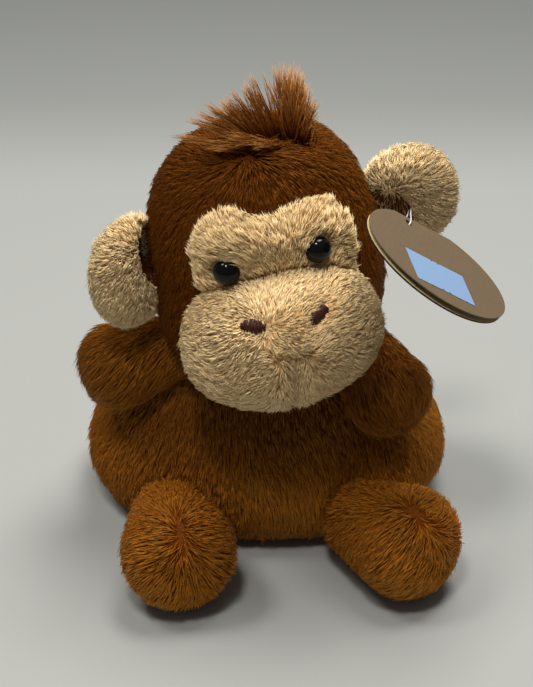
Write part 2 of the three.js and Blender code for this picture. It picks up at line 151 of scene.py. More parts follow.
world = bpy.data.worlds.new("room")
bpy.context.scene.world = world
world.use_nodes = True
tree = world.node_tree
room_light = tree.nodes["Background"]
feed(tree, room_light, {"Color": room_color, "Strength": room_strength})
rise = add_node(tree, "SeparateXYZ", {0: add_node(tree, "TexCoord")["Generated"]})["Z"]
# Painted shade on the wall: it grows darker from its foot upwards.
tone = mixed(tree, mapped(tree, rise, wall_near_rise, wall_far_rise), wall_near, wall_far)
wall = add_node(tree, "Background", {"Color": tone})
ray = add_node(tree, "LightPath")
seen = add_node(
    tree, "Math", {0: ray["Is Camera Ray"], 1: ray["Is Transmission Ray"]}, operation="MAXIMUM")
shown = add_node(tree, "MixShader", {"Fac": seen[0], 1: room_light.outputs[0], 2: wall[0]})
feed(tree, tree.nodes["World Output"], {"Surface": shown[0]})

for name, hung in lamps.items():
    bpy.ops.object.light_add(type="AREA", location=hung["place"])
    lamp = bpy.context.object
    lamp.name = name
    lamp.data.size = hung["size"]
    lamp.data.energy = hung["power"]
    onto_toy = view_target - Vector(hung["place"])
    lamp.rotation_euler = onto_toy.to_track_quat("-Z", "Y").to_euler()


# Brown plush
# A knitted backing with a long brushed pile of fine brown fibres, which part into small locks.
# Every strand is a closed three-sided spike. Its tone and its height run across the UV map.
pile_depth = 0.0022
brown_pile = dict(
    length=0.0056, width=0.000262, density=3.9, lean=61, droop=24, stray=0.1, lock=0.0009,
    gather=0.2, wave=0.00012, uneven=0.07, stations=(0, 0.5, 1))
# Each row: the root's painted shade, the darkest and the lightest strands, and the tip's painted
# sheen.
brown_tones = (
    (0.14, 0.033, 0.0016), (0.24, 0.062, 0.003), (0.45, 0.148, 0.011), (0.64, 0.28, 0.044))
# Painted light and shade: each part's share of the brown tones, one for each colour channel.
brown_painted_light_shares = {
    "head": (0.64, 0.6, 0.55), "arm": (0.93, 0.98, 1.2), "body": (1.5, 1.65, 2.1),
    "leg": (1.55, 1.75, 2.2)}
brightest = 0.9
# Painted shadow under the chin: the body's darkest tone is darker still.
painted_belly_shade = 0.6
tone_labels = ("Root", "Dark", "Light", "Tip")
sheen_tip_start = 0.45
sheen_tip_share = 0.6
knit_scale = 1500
knit_depth = 0.0003


def tone_group():
    """Strand colours: dark at the root as painted shade, lighter or darker from one strand to the
    next, and lighter near the tip as a painted sheen.
    """
    group = bpy.data.node_groups.new("pile tone", "ShaderNodeTree")
    for label in tone_labels:
        group.interface.new_socket(label, in_out="INPUT", socket_type="NodeSocketColor")
    group.interface.new_socket("Root Height", in_out="INPUT", socket_type="NodeSocketFloat")
    group.interface.new_socket("Color", in_out="OUTPUT", socket_type="NodeSocketColor")
    ends = group.nodes.new("NodeGroupInput").outputs
    strand = add_node(group, "SeparateXYZ", {0: add_node(group, "UVMap", uv_map="OFBake")["UV"]})
    shade = mixed(group, strand["X"], ends["Dark"], ends["Light"])
    above_root = mapped(group, strand["Y"], 0, ends["Root Height"], smooth=True)
    near_tip = mapped(group, strand["Y"], sheen_tip_start, 1, 0, sheen_tip_share, smooth=True)
    length = mixed(group, above_root, ends["Root"], shade)
    color = mixed(group, near_tip, length, ends["Tip"])
    feed(group, group.nodes.new("NodeGroupOutput"), {"Color": color})
    return group


pile_tone = tone_group()


def pile_material(name, tones, root_height=0.6, roughness=0.6, shine=0.06):
    """The finish of one colour of strands, with a tone for each of the tone labels."""
    material, tree, shader = new_material(name)
    sockets = {label: (*tone, 1) for label, tone in zip(tone_labels, tones)}
    strand = add_node(tree, "Group", {**sockets, "Root Height": root_height}, node_tree=pile_tone)
    feed(tree, shader, {
        "Base Color": strand["Color"], "Roughness": roughness, "Specular IOR Level": shine})
    return material


def backing_material(name, dark, light):
    """Knitted cloth between the strands: fine loops, and a slow change of tone."""
    material, tree, shader = new_material(name)
    patches = texture(tree, "Noise", "Fac", Scale=knit_scale / 10)
    loops = texture(tree, "Voronoi", "Distance", Scale=knit_scale)
    bump = add_node(tree, "Bump", {"Height": loops, "Distance": knit_depth})["Normal"]
    feed(tree, shader, {
        "Base Color": mixed(tree, patches, (*dark, 1), (*light, 1)), "Normal": bump,
        "Roughness": 0.95, "Specular IOR Level": 0.1})
    return material


# The same brown plush has a copy of its tones for each part. Painted shade makes the head, and
# less so the arms, darker than the feet, and painted light makes the body and the feet lighter.
# The darkest of the body's strands are darker still, as painted shadow under the chin.
brown_strands = {}
for part, shares in brown_painted_light_shares.items():
    root, dark, light, tip = (
        [min(brightest, value * share) for value, share in zip(tone, shares)]
        for tone in brown_tones)
    if part == "body":
        dark = [value * painted_belly_shade for value in dark]
    brown_strands[part] = pile_material(
        f"brown pile, {part}", (root, dark, light, tip), roughness=0.5)
# The brown knit is darker than any strand: painted shade deep between the strands.
brown_shaded_backing = backing_material("brown knit, painted shade", (0.12, 0.029, 0.002), (0.2, 0.052, 0.004))


def unit(vectors):
    return vectors / np.maximum(np.linalg.norm(vectors, axis=1, keepdims=True), 1e-9)


def threes(rows, field, kind=float):
    """A field of a mesh's vertices, normals or triangles, in rows of three."""
    values = np.empty(len(rows) * 3, kind)
    rows.foreach_get(field, values)
    return values.reshape(-1, 3)


def scatter(skin, density, rng):
    """Roots spread evenly over a skin, and the way that each faces out."""
    mesh = skin.data
    mesh.calc_loop_triangles()
    places = threes(mesh.vertices, "co")
    outward = threes(mesh.vertex_normals, "vector")
    corners = threes(mesh.loop_triangles, "vertices", np.int32)
    a, b, c = (places[corners[:, i]] for i in range(3))
    reach = np.cumsum(np.linalg.norm(np.cross(b - a, c - a), axis=1) / 2)
    count = int(reach[-1] * 1e6 * density)
    pick = np.searchsorted(reach, (np.arange(count) + rng.random(count)) / count * reach[-1])
    pick = np.minimum(pick, len(corners) - 1)
    first = np.sqrt(rng.random(count))
    second = rng.random(count)
    shares = np.stack((1 - first, first * (1 - second), first * second), axis=1)[..., None]
    roots = (places[corners[pick]] * shares).sum(1)
    normals = (outward[corners[pick]] * shares).sum(1)
    return roots, unit(normals)


drift_waves = 9
drift_gain = 2.2


def drift(places, size, seed):
    """A smooth value from about -1 to 1 that changes over the given size."""
    rng = np.random.default_rng(seed)
    waves = rng.normal(size=(drift_waves, 3)) / size
    phases = rng.uniform(0, 2 * math.pi, drift_waves)
    return np.sin(places @ waves.T + phases).mean(1) * drift_gain


def add_piece(name, data):
    """A new object in the scene."""
    piece = bpy.data.objects.new(name, data)
    bpy.context.scene.collection.objects.link(piece)
    return piece


table_clearance = 0.0002


def strands(name, lines, widths, normals, tones, heights, material):
    """Closed spikes along lines of points, one ring of three corners at each but the last."""
    count = len(lines[0])
    rings = []
    for here, ahead, width in zip(lines, lines[1:], widths):
        onward = unit(ahead - here)
        aside = unit(np.cross(onward, normals))
        across = np.cross(onward, aside)
        for turn in (0, 2 * math.pi / 3, 4 * math.pi / 3):
            arm = math.cos(turn) * aside + math.sin(turn) * across
            rings.append(here + width[:, None] / 2 * arm)
    corners = np.stack(rings + [lines[-1]], axis=1)
    corners[..., 2] = np.maximum(corners[..., 2], table_clearance)
    tip = corners.shape[1] - 1
    faces = [(0, 2, 1)]
    for low in range(0, tip - 3, 3):
        for side, following in ((0, 1), (1, 2), (2, 0)):
            faces.append((low + side, low + following, low + 3 + following))
            faces.append((low + side, low + 3 + following, low + 3 + side))
    for side, following in ((0, 1), (1, 2), (2, 0)):
        faces.append((tip - 3 + side, tip - 3 + following, tip))
    faces = np.array(faces, np.int32)
    index = (faces[None] + (np.arange(count) * (tip + 1))[:, None, None]).reshape(-1)
    mesh = bpy.data.meshes.new(name)
    mesh.vertices.add(count * (tip + 1))
    mesh.vertices.foreach_set("co", corners.reshape(-1))
    mesh.loops.add(len(index))
    mesh.loops.foreach_set("vertex_index", index)
    mesh.polygons.add(len(index) // 3)
    mesh.polygons.foreach_set("loop_start", np.arange(0, len(index), 3, dtype=np.int32))
    mesh.polygons.foreach_set("use_smooth", np.ones(len(index) // 3, bool))
    ring_heights = np.append(np.repeat(heights[:-1], 3), heights[-1])
    map_u = np.repeat(tones, tip + 1)[index]
    map_v = np.tile(ring_heights, count)[index]
    layer = mesh.uv_layers.new(name="OFBake")
    layer.data.foreach_set("uv", np.stack((map_u, map_v), axis=1).reshape(-1))
    mesh.update()
    mesh.validate()
    mesh.materials.append(material)
    return add_piece(name, mesh)


root_depth = 0.0004
strand_lengths = (0.72, 1.12)
strand_widths = (0.75, 1.25)
strand_taper = 0.35
lock_pulls = (0.5, 1.25)
tone_middle = 0.46
tone_spread = dict(strand=0.08, lock=0.07, patch=0.2)
tone_patch = 0.009


def plant_pile(
        names, skin, pile, comb, body, material, seed, keep=None, trim=None, stand=None,
        shade=None):
    """Plants a skin with strands that lie along the comb direction and gather in locks.
    The strands are shared among the named panels, round the skin's middle. Of the roots,
    keep picks some, trim shortens the strands, stand lifts them and shade changes their tone."""
    rng = np.random.default_rng(seed)
    roots, normals = scatter(skin, pile["density"], rng)
    if keep is not None:
        kept = keep(roots)
        roots, normals = roots[kept], normals[kept]
    count = len(roots)
    combed = unit(comb(roots, normals)) + pile["stray"] * rng.normal(size=roots.shape)
    along = unit(combed - (combed * normals).sum(1, keepdims=True) * normals)
    length = pile["length"] * rng.uniform(*strand_lengths, count)
    if trim is not None:
        length = length * trim(roots)
    lie = np.ones(count) if stand is None else stand(roots)
    lean = np.radians(pile["lean"]) * lie + rng.normal(0, pile["uneven"], count)
    locks = max(1, int(count / pile["density"] / (pile["lock"] * 1e3) ** 2))
    centres = rng.choice(count, locks, False)
    tree = KDTree(locks)
    for i, centre in enumerate(centres):
        tree.insert(roots[centre], i)
    tree.balance()
    lock = np.array([tree.find(root)[1] for root in roots])
    leader = centres[lock]
    lock_pull = pile["gather"] * rng.uniform(*lock_pulls, locks)[lock]
    lock_tone = rng.normal(0, 1, locks)[lock]
    lift = rng.normal(0, pile["uneven"], locks)[lock]
    side = np.cross(normals, along)
    phase = rng.uniform(0, 2 * math.pi, count)
    lines = []
    for share in pile["stations"]:
        angle = (lean + lift + np.radians(pile["droop"]) * share * lie)[:, None]
        rise = np.cos(angle) * normals + np.sin(angle) * along
        bend = pile["wave"] * np.sin(phase + share * 5)[:, None] * side * share
        lines.append(roots + share * length[:, None] * rise + bend)
    gathered = []
    for share, line in zip(pile["stations"], lines):
        pull = np.clip(lock_pull * lie * share ** 1.4, 0, 0.95)[:, None]
        gathered.append(line + pull * (line[leader] - line))
    gathered[0] = gathered[0] - root_depth * normals
    thick = pile["width"] * rng.uniform(*strand_widths, count)
    widths = [thick * (1 - strand_taper * share) for share in pile["stations"][:-1]]
    tones = (
        tone_middle + tone_spread["strand"] * rng.normal(size=count)
        + tone_spread["lock"] * lock_tone + tone_spread["patch"] * drift(roots, tone_patch, seed=5))
    if shade is not None:
        tones = tones + shade(roots)
    tones = np.clip(tones, 0.02, 0.98)
    middle = roots.mean(0)
    order = np.argsort(np.arctan2(roots[:, 0] - middle[0], roots[:, 1] - middle[1]))
    for name, part in zip(names, np.array_split(order, len(names))):
        fur = strands(
            name, [line[part] for line in gathered], [width[part] for width in widths],
            normals[part], tones[part], pile["stations"], material)
        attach(fur, body)


def start_piece(name, add_primitive, **sizes):
    """A primitive about the world's origin, selected alone."""
    bpy.ops.object.select_all(action="DESELECT")
    add_primitive(location=(0, 0, 0), **sizes)
    bpy.context.object.name = name
    return bpy.context.object


def ball(name):
    """A ball of radius 1, from which a stuffed skin is shaped."""
    return start_piece(name, bpy.ops.mesh.primitive_ico_sphere_add, subdivisions=5, radius=1)


def stuffed(name, half_x, half_y, up, down, power, crown=None, base=None):
    """A closed skin in the shape of a stuffed bag, about the world's origin. Its sides are
    fuller than an ellipsoid's, and it has its own height and fullness above and below."""
    skin = ball(name)
    for vertex in skin.data.vertices:
        x, y, z = vertex.co
        bend = (crown if z > 0 else base) or power
        tall = up if z > 0 else down
        round_share = abs(x / half_x) ** power + abs(y / half_y) ** power
        vertex.co /= (round_share ** (bend / power) + abs(z / tall) ** bend) ** (1 / bend)
    bpy.ops.object.shade_smooth()
    return skin


def modify(piece, kind, **settings):
    """Applies a modifier to a piece."""
    bpy.context.view_layer.objects.active = piece
    modifier = piece.modifiers.new(kind, kind)
    for name, value in settings.items():
        setattr(modifier, name, value)
    bpy.ops.object.modifier_apply(modifier=kind)


def press(piece, onto, gap):
    """Flattens a soft piece where it lies on another, a small gap away."""
    modify(
        piece, "SHRINKWRAP", target=onto, wrap_method="NEAREST_SURFACEPOINT", wrap_mode="OUTSIDE",
        offset=gap)


sure_gap = 0.003


def apart_from(pieces, distance):
    """Tells which roots are further than a distance from the other pieces, and outside them.
    A root past the sure gap is outside, whichever way the nearest face looks."""
    depsgraph = bpy.context.evaluated_depsgraph_get()
    trees = [BVHTree.FromObject(piece, depsgraph) for piece in pieces]

    def free(roots):
        kept = np.ones(len(roots), bool)
        for tree in trees:
            for i, root in enumerate(roots):
                if not kept[i]:
                    continue
                near, facing, _, gap = tree.find_nearest(root)
                outside = gap > sure_gap or (Vector(root) - near).dot(facing) > 0
                kept[i] = gap > distance and outside
        return kept
    return free


# Body
# A bag of brown plush filled with fibre, with a pouch of plastic pellets in its flat seat.
body_widest = 0.016
body_low, body_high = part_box("body_skin")
body_half = (body_high - body_low) / 2 - Vector((pile_depth, pile_depth, 0))
body_rise = 0.039
body_drop = 0.022
body_skin = stuffed(
    "body_backing", body_half.x, body_half.y, body_rise - pile_depth, body_drop - pile_depth,
    power=2.25, crown=1.5, base=2.8)
seat_height = 0.0012
for vertex in body_skin.data.vertices:
    height = vertex.co.z + body_widest
    vertex.co.z = min(max(height, seat_height), body_high.z - pile_depth)
body_skin.data.materials.append(brown_shaded_backing)
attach(body_skin, "body")
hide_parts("body_skin")


# Arms and legs
# Small stuffed bags of the same plush, each gathered at its root and sewn to the body there,
# and closed at its end by a short seam that the pile hides.
arm_size = dict(root=0.0094, swell=0.0123, widest=0.0155, length=0.0275, growth=1.1)
leg_size = dict(root=0.0125, swell=0.0158, widest=0.014, length=0.028, growth=0.8)
limb_pile_depth = 0.0018
limb_gap = 0.0004
limb_taper = 0.85
limb_round = 0.95
limb_places = {
    "arm_left": ("arm_left_raise", arm_size, (0.4806, -0.7882, -0.3845)),
    "arm_right": ("arm_right_swing", arm_size, (-0.9348, -0.3018, -0.187)),
    "leg_left": ("leg_left_raise", leg_size, (0.6879, -0.7123, 0.1392)),
    "leg_right": ("leg_right_raise", leg_size, (0.172, -0.9752, 0.1392)),
}


def limb(name, size, pivot, toward):
    """A stuffed limb from its root ball to its round end."""
    skin = ball(name)
    root = size["root"] - limb_pile_depth
    swell = size["swell"] - limb_pile_depth
    cap = size["length"] - size["widest"] - limb_pile_depth
    for vertex in skin.data.vertices:
        across = Vector((vertex.co.x, vertex.co.y, 0))
        share = math.asin(max(-1, min(1, vertex.co.z))) / (math.pi / 2)
        if share < 0:
            vertex.co *= root
            continue
        if share < 0.5:
            reach = share / 0.5
            radius = root + (swell - root) * reach ** size["growth"]
            height = size["widest"] * reach
        else:
            angle = (share - 0.5) * math.pi
            radius = swell * max(0, math.cos(angle)) ** limb_taper
            height = size["widest"] + cap * math.sin(angle) ** limb_round
        flat = across.normalized() * radius if across.length > 0 else across
        vertex.co = flat + Vector((0, 0, height))
    skin.data.transform(Vector(toward).to_track_quat("Z", "Y").to_matrix().to_4x4())
    skin.data.transform(Matrix.Translation(pivot))
    bpy.ops.object.shade_smooth()
    return skin


limb_skins = {}
for name, (joint, size, toward) in limb_places.items():
    skin = limb(f"{name}_backing", size, Vector(joints[joint]["pos_m"]), toward)
    press(skin, body_skin, limb_gap)
    for vertex in skin.data.vertices:
        vertex.co.z = max(vertex.co.z, seat_height)
    skin.data.materials.append(brown_shaded_backing)
    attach(skin, name)
    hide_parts(f"{name}_skin")
    limb_skins[name] = skin

# The body's pile hangs down and spreads outwards. It is worn away under the seat, and lies
# under the arms too, where a raised arm shows it.
body_spread = 0.25
seat_edge = 0.003
seat_trim = 0.4
worn_height = 0.0025
worn_share = 0.7
limb_clear = 0.0008
# Painted light over the body's pile, a painted shadow under the chin and painted shade on the back.
body_painted_light = 0.22
chin_place = np.array((0.004, -0.024, 0.040))
chin_squash = (0.3, 1, 1)
chin_reach = 0.024
painted_chin_shadow = 0.8
back_reach = 0.025
painted_back_shade = 0.4


def swept(roots, size, amount, seed):
    """A gentle stray in the comb direction that changes over the given size."""
    return amount * np.stack([drift(roots, size, seed + i) for i in range(3)], axis=1)


def comb_body(roots, normals):
    down = np.array((0, 0, -1.0)) + body_spread * roots * np.array((1, 1, 0)) / body_half.x
    return down + swept(roots, size=0.014, amount=0.25, seed=20)


def trim_body(roots):
    return np.where(roots[:, 2] < seat_edge, seat_trim, 1.0)


def off_seams(names, roots):
    """Tells which roots are clear of the seams that the named limbs are sewn on by."""
    clear = np.ones(len(roots), bool)
    for name in names:
        joint, size, _ = limb_places[name]
        seam = np.array(joints[joint]["pos_m"])
        clear &= np.linalg.norm(roots - seam, axis=1) > size["root"]
    return clear


def keep_body(roots):
    """Leaves out the roots under the legs and the arms' seams, and most of those that the toy
    sits on."""
    worn = np.random.default_rng(12).random(len(roots)) < worn_share
    sat_on = (roots[:, 2] < worn_height) & worn
    legs = apart_from([limb_skins["leg_left"], limb_skins["leg_right"]], limb_clear)
    arms = apart_from([limb_skins["arm_left"], limb_skins["arm_right"]], limb_clear)
    return ~sat_on & legs(roots) & (arms(roots) | off_seams(["arm_left", "arm_right"], roots))


def shade_body(roots):
    """Painted light over the pile, with a painted shadow under the chin that fades lower on the
    belly, and painted shade on the back.
    """
    far = np.linalg.norm((roots - chin_place) * chin_squash, axis=1)
    back = np.clip(roots[:, 1] / back_reach, 0, 1)
    return body_painted_light - painted_chin_shadow * np.clip(1 - far / chin_reach, 0, 1) - painted_back_shade * back


plant_pile(
    [f"body_pile_{i}" for i in range(1, 5)], body_skin, brown_pile, comb_body, "body",
    brown_strands["body"], 11, keep_body, trim_body, shade=shade_body)

# Each foot's pile parts from the short seam that closes it, and an arm's pile runs to its end.
foot_seams = {
    "leg_left": ((-0.0125, 0.0092, 0.0109), (-0.0078, 0.0027, 0.0095), (-0.0015, 0.0014, 0.0030)),
    "leg_right": ((-0.0037, 0.0130, 0.0120), (-0.0026, 0.0075, 0.0104), (-0.0018, 0.0040, 0.0066))}
foot_parting = 0.009
foot_down = np.array((0, 0, -0.4))
foot_back = 0.35
# Painted light over each foot's pile, and painted shade in the parting along its seam.
foot_painted_light = 0.1
foot_seam_painted_shade = 0.42
foot_seam_reach = 0.0085
arm_down = np.array((0, 0, -0.6))


def from_line(line, places):
    """The way and the distance from a row of points to each place."""
    nearest = np.full(len(places), np.inf)
    way = np.zeros(places.shape)
    for start, stop in zip(line, line[1:]):
        span = stop - start
        share = np.clip(((places - start) @ span) / (span @ span), 0, 1)
        away = places - start - share[:, None] * span
        gap = np.linalg.norm(away, axis=1)
        closer = gap < nearest
        way[closer] = away[closer]
        nearest[closer] = gap[closer]
    return unit(way), nearest


def from_seam(name, roots):
    """The way and the distance from a foot's seam to each place."""
    joint, size, toward = limb_places[name]
    end = np.array(joints[joint]["pos_m"]) + size["length"] * np.array(toward)
    return from_line([end + np.array(point) for point in foot_seams[name]], roots)


def comb_foot(name):
    toward = np.array(limb_places[name][2])

    def comb(roots, normals):
        way, far = from_seam(name, roots)
        parted = way * np.clip(far / foot_parting, 0, 1)[:, None]
        stray = swept(roots, size=0.007, amount=0.3, seed=30)
        return parted + foot_down - foot_back * toward + stray
    return comb


def by_seam(name, reach, least, most):
    """A share of the pile's length or lean that grows away from a foot's seam."""
    return lambda roots: np.clip(from_seam(name, roots)[1] / reach, least, most)


# Painted shade near the foot's seam, and painted light on the rest of the foot.
def shade_foot(name):
    def shade(roots):
        far = from_seam(name, roots)[1]
        return foot_painted_light - foot_seam_painted_shade * np.clip(1 - far / foot_seam_reach, 0, 1)
    return shade


def comb_arm(name):
    toward = np.array(limb_places[name][2])
    return lambda roots, normals: (
        swept(roots, size=0.01, amount=0.25, seed=40) + toward + arm_down)


off_body = apart_from([body_skin], limb_clear)
for number, (name, skin) in enumerate(limb_skins.items()):
    if name in foot_seams:
        plant_pile(
            [f"{name}_pile"], skin, brown_pile, comb_foot(name), name,
            brown_strands["leg"], 50 + number, off_body, by_seam(name, 0.006, 0.75, 1),
            by_seam(name, 0.003, 0.9, 1.06), shade_foot(name))
    else:
        plant_pile(
            [f"{name}_pile"], skin, brown_pile, comb_arm(name), name,
            brown_strands["arm"], 50 + number,
            lambda roots: off_body(roots) | off_seams([name], roots))


# Head
# A round brown ball of plush, sewn to the body at the neck, turned to its left and tilted.
head_half = (0.0305, 0.028, 0.0335)
head_rise = 0.0313
head_turned = 8
head_tilt = -11.5
cheek_fill = 0.0035
cheek_half = 0.018
neck_gap = 0.001
head_centre = Vector(joints["head_turn"]["pos_m"]) + Vector((0, 0, head_rise))
head_matrix = (
    Matrix.Translation(head_centre) @ Matrix.Rotation(math.radians(head_turned), 4, "Z")
    @ Matrix.Rotation(math.radians(head_tilt), 4, "Y"))
whorl = np.array((0.0025, -0.0125, 0.030))
whorl_reach = 0.014
head_down = np.array((0, 0, -0.35))
parting_reach = 0.006
face_rim = 0.001
face_rim_reach = 0.007
face_clear = 0.0002
head_clear = 0.0006
far_behind = 0.05
head_skin = stuffed(
    "head_backing", *(half - pile_depth for half in (*head_half, head_half[2])), power=2.3,
    base=3.5)
for vertex in head_skin.data.vertices:
    low = min(1, max(0, -vertex.co.z / cheek_half))
    right = min(1, max(0, -vertex.co.x / cheek_half))
    vertex.co.x -= cheek_fill * low * right
head_skin.data.transform(head_matrix)
press(head_skin, body_skin, neck_gap)
head_skin.data.materials.append(brown_shaded_backing)
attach(head_skin, "head")
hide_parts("head_skin")


def moved(matrix, places):
    """Places taken through a matrix."""
    matrix = np.array(matrix)
    return places @ matrix[:3, :3].T + matrix[:3, 3]


def turned(matrix, ways):
    """Directions turned by a matrix."""
    return ways @ np.array(matrix)[:3, :3].T


def in_head(roots):
    """Places in the head's own frame, with its face towards -Y."""
    return moved(head_matrix.inverted(), roots)


# The beige face patch's edge on the head, as seen from the front of the head.
face_edge = [
    (0.0005, 0.0177), (0.0035, 0.0175), (0.0072, 0.0181), (0.0112, 0.0183), (0.0140, 0.0179),
    (0.0162, 0.0162), (0.0183, 0.0132), (0.0197, 0.0102), (0.0200, 0.0074), (0.0197, 0.0040),
    (0.0190, 0.0003), (0.0178, -0.0060), (0.0130, -0.0160), (0, -0.02), (-0.0122, -0.0160),
    (-0.0166, -0.0060), (-0.0171, 0.0015), (-0.0178, 0.0038), (-0.0181, 0.0077), (-0.0177, 0.0117),
    (-0.0168, 0.0146), (-0.0149, 0.0175), (-0.0128, 0.0193), (-0.0094, 0.0207), (-0.0060, 0.0205),
    (-0.0030, 0.0191)]


def face_distance(roots):
    """How far each place on the front of the head lies outside the face patch's edge."""
    local = in_head(roots)
    x, _, z = local.T
    rim = np.array(face_edge + face_edge[:1])
    inside = np.zeros(len(local), bool)
    for (x0, z0), (x1, z1) in zip(rim, rim[1:]):
        crosses = (z0 > z) != (z1 > z)
        if z1 != z0:
            inside ^= crosses & (x < x0 + (z - z0) / (z1 - z0) * (x1 - x0))
    nearest = from_line(rim, local[:, [0, 2]])[1]
    return np.where(local[:, 1] < 0, np.where(inside, -nearest, nearest), far_behind)


def comb_head(roots, normals):
    away = in_head(roots) - whorl
    parting = np.clip(np.linalg.norm(away, axis=1) / whorl_reach, 0.1, 1)[:, None]
    way = turned(head_matrix, unit(away) * parting + head_down)
    return way + swept(roots, size=0.011, amount=0.3, seed=60)


def upright(far):
    """The pile's share of its lean, which is least where it parts."""
    return np.clip(far / parting_reach, 0.75, 1)


def stand_head(roots):
    return upright(np.linalg.norm(in_head(roots) - whorl, axis=1))


def trim_head(roots):
    return np.clip((face_distance(roots) + face_rim) / face_rim_reach, 0.3, 1)


def keep_head(roots):
    off_skins = apart_from([body_skin, muzzle_skin], head_clear)
    return (face_distance(roots) > face_clear) & off_skins(roots)


# Muzzle
# A beige cup of short plush, stuffed full and sewn over the lower face.
muzzle_sizes = (0.0260, 0.019, 0.0205, 0.0171)
muzzle_centre = Vector((-0.0018, -0.0253, -0.0144))
beige_depth = 0.0016
beige_gap = 0.0003
muzzle_skin = stuffed(
    "muzzle_backing", *(size - beige_depth for size in muzzle_sizes), power=2.1, crown=2.35)
seam_middle = -0.0008
seam_slant = 0.17
seam_top = -0.009
seam_depth = 0.0014
seam_width = 0.0012
seam_start = 0.004
for vertex in muzzle_skin.data.vertices:
    drop = seam_top - vertex.co.z - muzzle_centre.z
    across = vertex.co.x + muzzle_centre.x - seam_middle + seam_slant * drop
    low = min(1, max(0, drop / seam_start))
    vertex.co *= 1 - low * seam_depth * math.exp(-(across / seam_width) ** 2) / vertex.co.length
muzzle_skin.data.transform(head_matrix @ Matrix.Translation(muzzle_centre))
press(muzzle_skin, head_skin, beige_gap)
beige_backing = backing_material("beige knit", (0.80, 0.54, 0.26), (0.90, 0.64, 0.34))
muzzle_skin.data.materials.append(beige_backing)
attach(muzzle_skin, "head")
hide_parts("muzzle_skin")

plant_pile(
    [f"head_pile_{i}" for i in range(1, 4)], head_skin, brown_pile, comb_head, "head",
    brown_strands["head"], 61, keep_head, trim_head, stand_head)

beige_pile = dict(
    length=0.0034, width=0.0003, density=7.5, lean=33, droop=44, stray=0.15, lock=0.0011,
    gather=0.36, wave=0.0003, uneven=0.12, stations=(0, 0.5, 1))
# The root's tone is painted shade and the tip's tone is a painted sheen.
beige_strands = pile_material(
    "beige pile", ((0.82, 0.54, 0.24), (0.93, 0.66, 0.32), (0.98, 0.77, 0.43), (0.98, 0.82, 0.52)))
# Painted shade: a darker copy of the beige pile's tones, for the face patch.
face_shaded_strands = pile_material(
    "beige pile, painted shade on face",
    ((0.74, 0.47, 0.2), (0.85, 0.58, 0.26), (0.92, 0.69, 0.36), (0.94, 0.75, 0.44)))
nose_line = np.array(
    ((-0.0008, -0.045, -0.0035), (-0.0018, -0.043, -0.013), (-0.0044, -0.038, -0.030)))
nose_parting = 0.009
muzzle_drop = 0.25
seam_comb = 0.003
seam_down = 1.2
seam_aside = 0.9
seam_trim = 0.45
seam_trim_width = 0.001
nostril_spots = [(0.0072, -0.0022, 28), (-0.0083, -0.0010, -20)]
nostril_clear = (0.0030, 0.0011)
nostril_trim = 0.35
nostril_trim_rise = 0.8
muzzle_clear = 0.0005


def beside_seam(local):
    """How far places in the head's frame lie to one side of the muzzle's slanting seam."""
    return local[:, 0] - seam_middle + seam_slant * (seam_top - local[:, 2])


def comb_muzzle(roots, normals):
    """Away from the nose's line and down, but into the seam beside it."""
    local = in_head(roots)
    away, far = from_line(nose_line, local)
    away *= np.clip(far / nose_parting, 0.1, 1)[:, None]
    away[:, 2] -= muzzle_drop
    across = beside_seam(local)
    near_seam = np.exp(-(across / seam_comb) ** 2) * (local[:, 2] < seam_top)
    away[:, 2] -= seam_down * near_seam
    away[:, 0] -= seam_aside * near_seam * np.sign(across)
    return turned(head_matrix, away) + swept(roots, size=0.004, amount=0.6, seed=70)


def stand_muzzle(roots):
    return upright(from_line(nose_line, in_head(roots))[1])


def trim_muzzle(roots):
    """Short pile in the seam down the middle, and round the nostrils."""
    local = in_head(roots)
    seam = np.exp(-(beside_seam(local) / seam_trim_width) ** 2) * (local[:, 2] < seam_top)
    share = 1 - seam_trim * seam
    for x, z, slant in nostril_spots:
        angle = math.radians(slant)
        across = (local[:, 0] - x) * math.cos(angle) + (local[:, 2] - z) * math.sin(angle)
        tall = (local[:, 2] - z) * math.cos(angle) - (local[:, 0] - x) * math.sin(angle)
        far = np.hypot(across / nostril_clear[0], tall / nostril_clear[1])
        rim = np.clip(nostril_trim + nostril_trim_rise * (far - 1), 0, 1)
        share = np.minimum(share, np.where(far < 1, 0, rim))
    return share


def keep_muzzle(roots):
    return (trim_muzzle(roots) > 0) & apart_from([head_skin], muzzle_clear)(roots)


plant_pile(
    ["muzzle_pile_1", "muzzle_pile_2"], muzzle_skin, beige_pile, comb_muzzle, "head",
    beige_strands, 71, keep_muzzle, trim_muzzle, stand_muzzle)


# Face patch
# Two lobes of the beige plush round the eyes, padded a little and let into the head.
patch_rise = 0.0011
patch_lift = 0.0002
brow_height = 0.0146
brow_width = 0.0042
brow_depth = 0.0014
brow_edge = 0.004
face_middle = np.array((0, -0.03, 0.002))
face_up = 0.3
eye_spots = [(-0.0112, 0.0081), (0.0112, 0.0081)]
eye_clear = 0.0030
patch_clear = 0.0009
patch_muzzle_clear = 0.0004


def pick_out(piece):
    """Selects one piece alone and makes it the active one."""
    bpy.ops.object.select_all(action="DESELECT")
    piece.select_set(True)
    bpy.context.view_layer.objects.active = piece


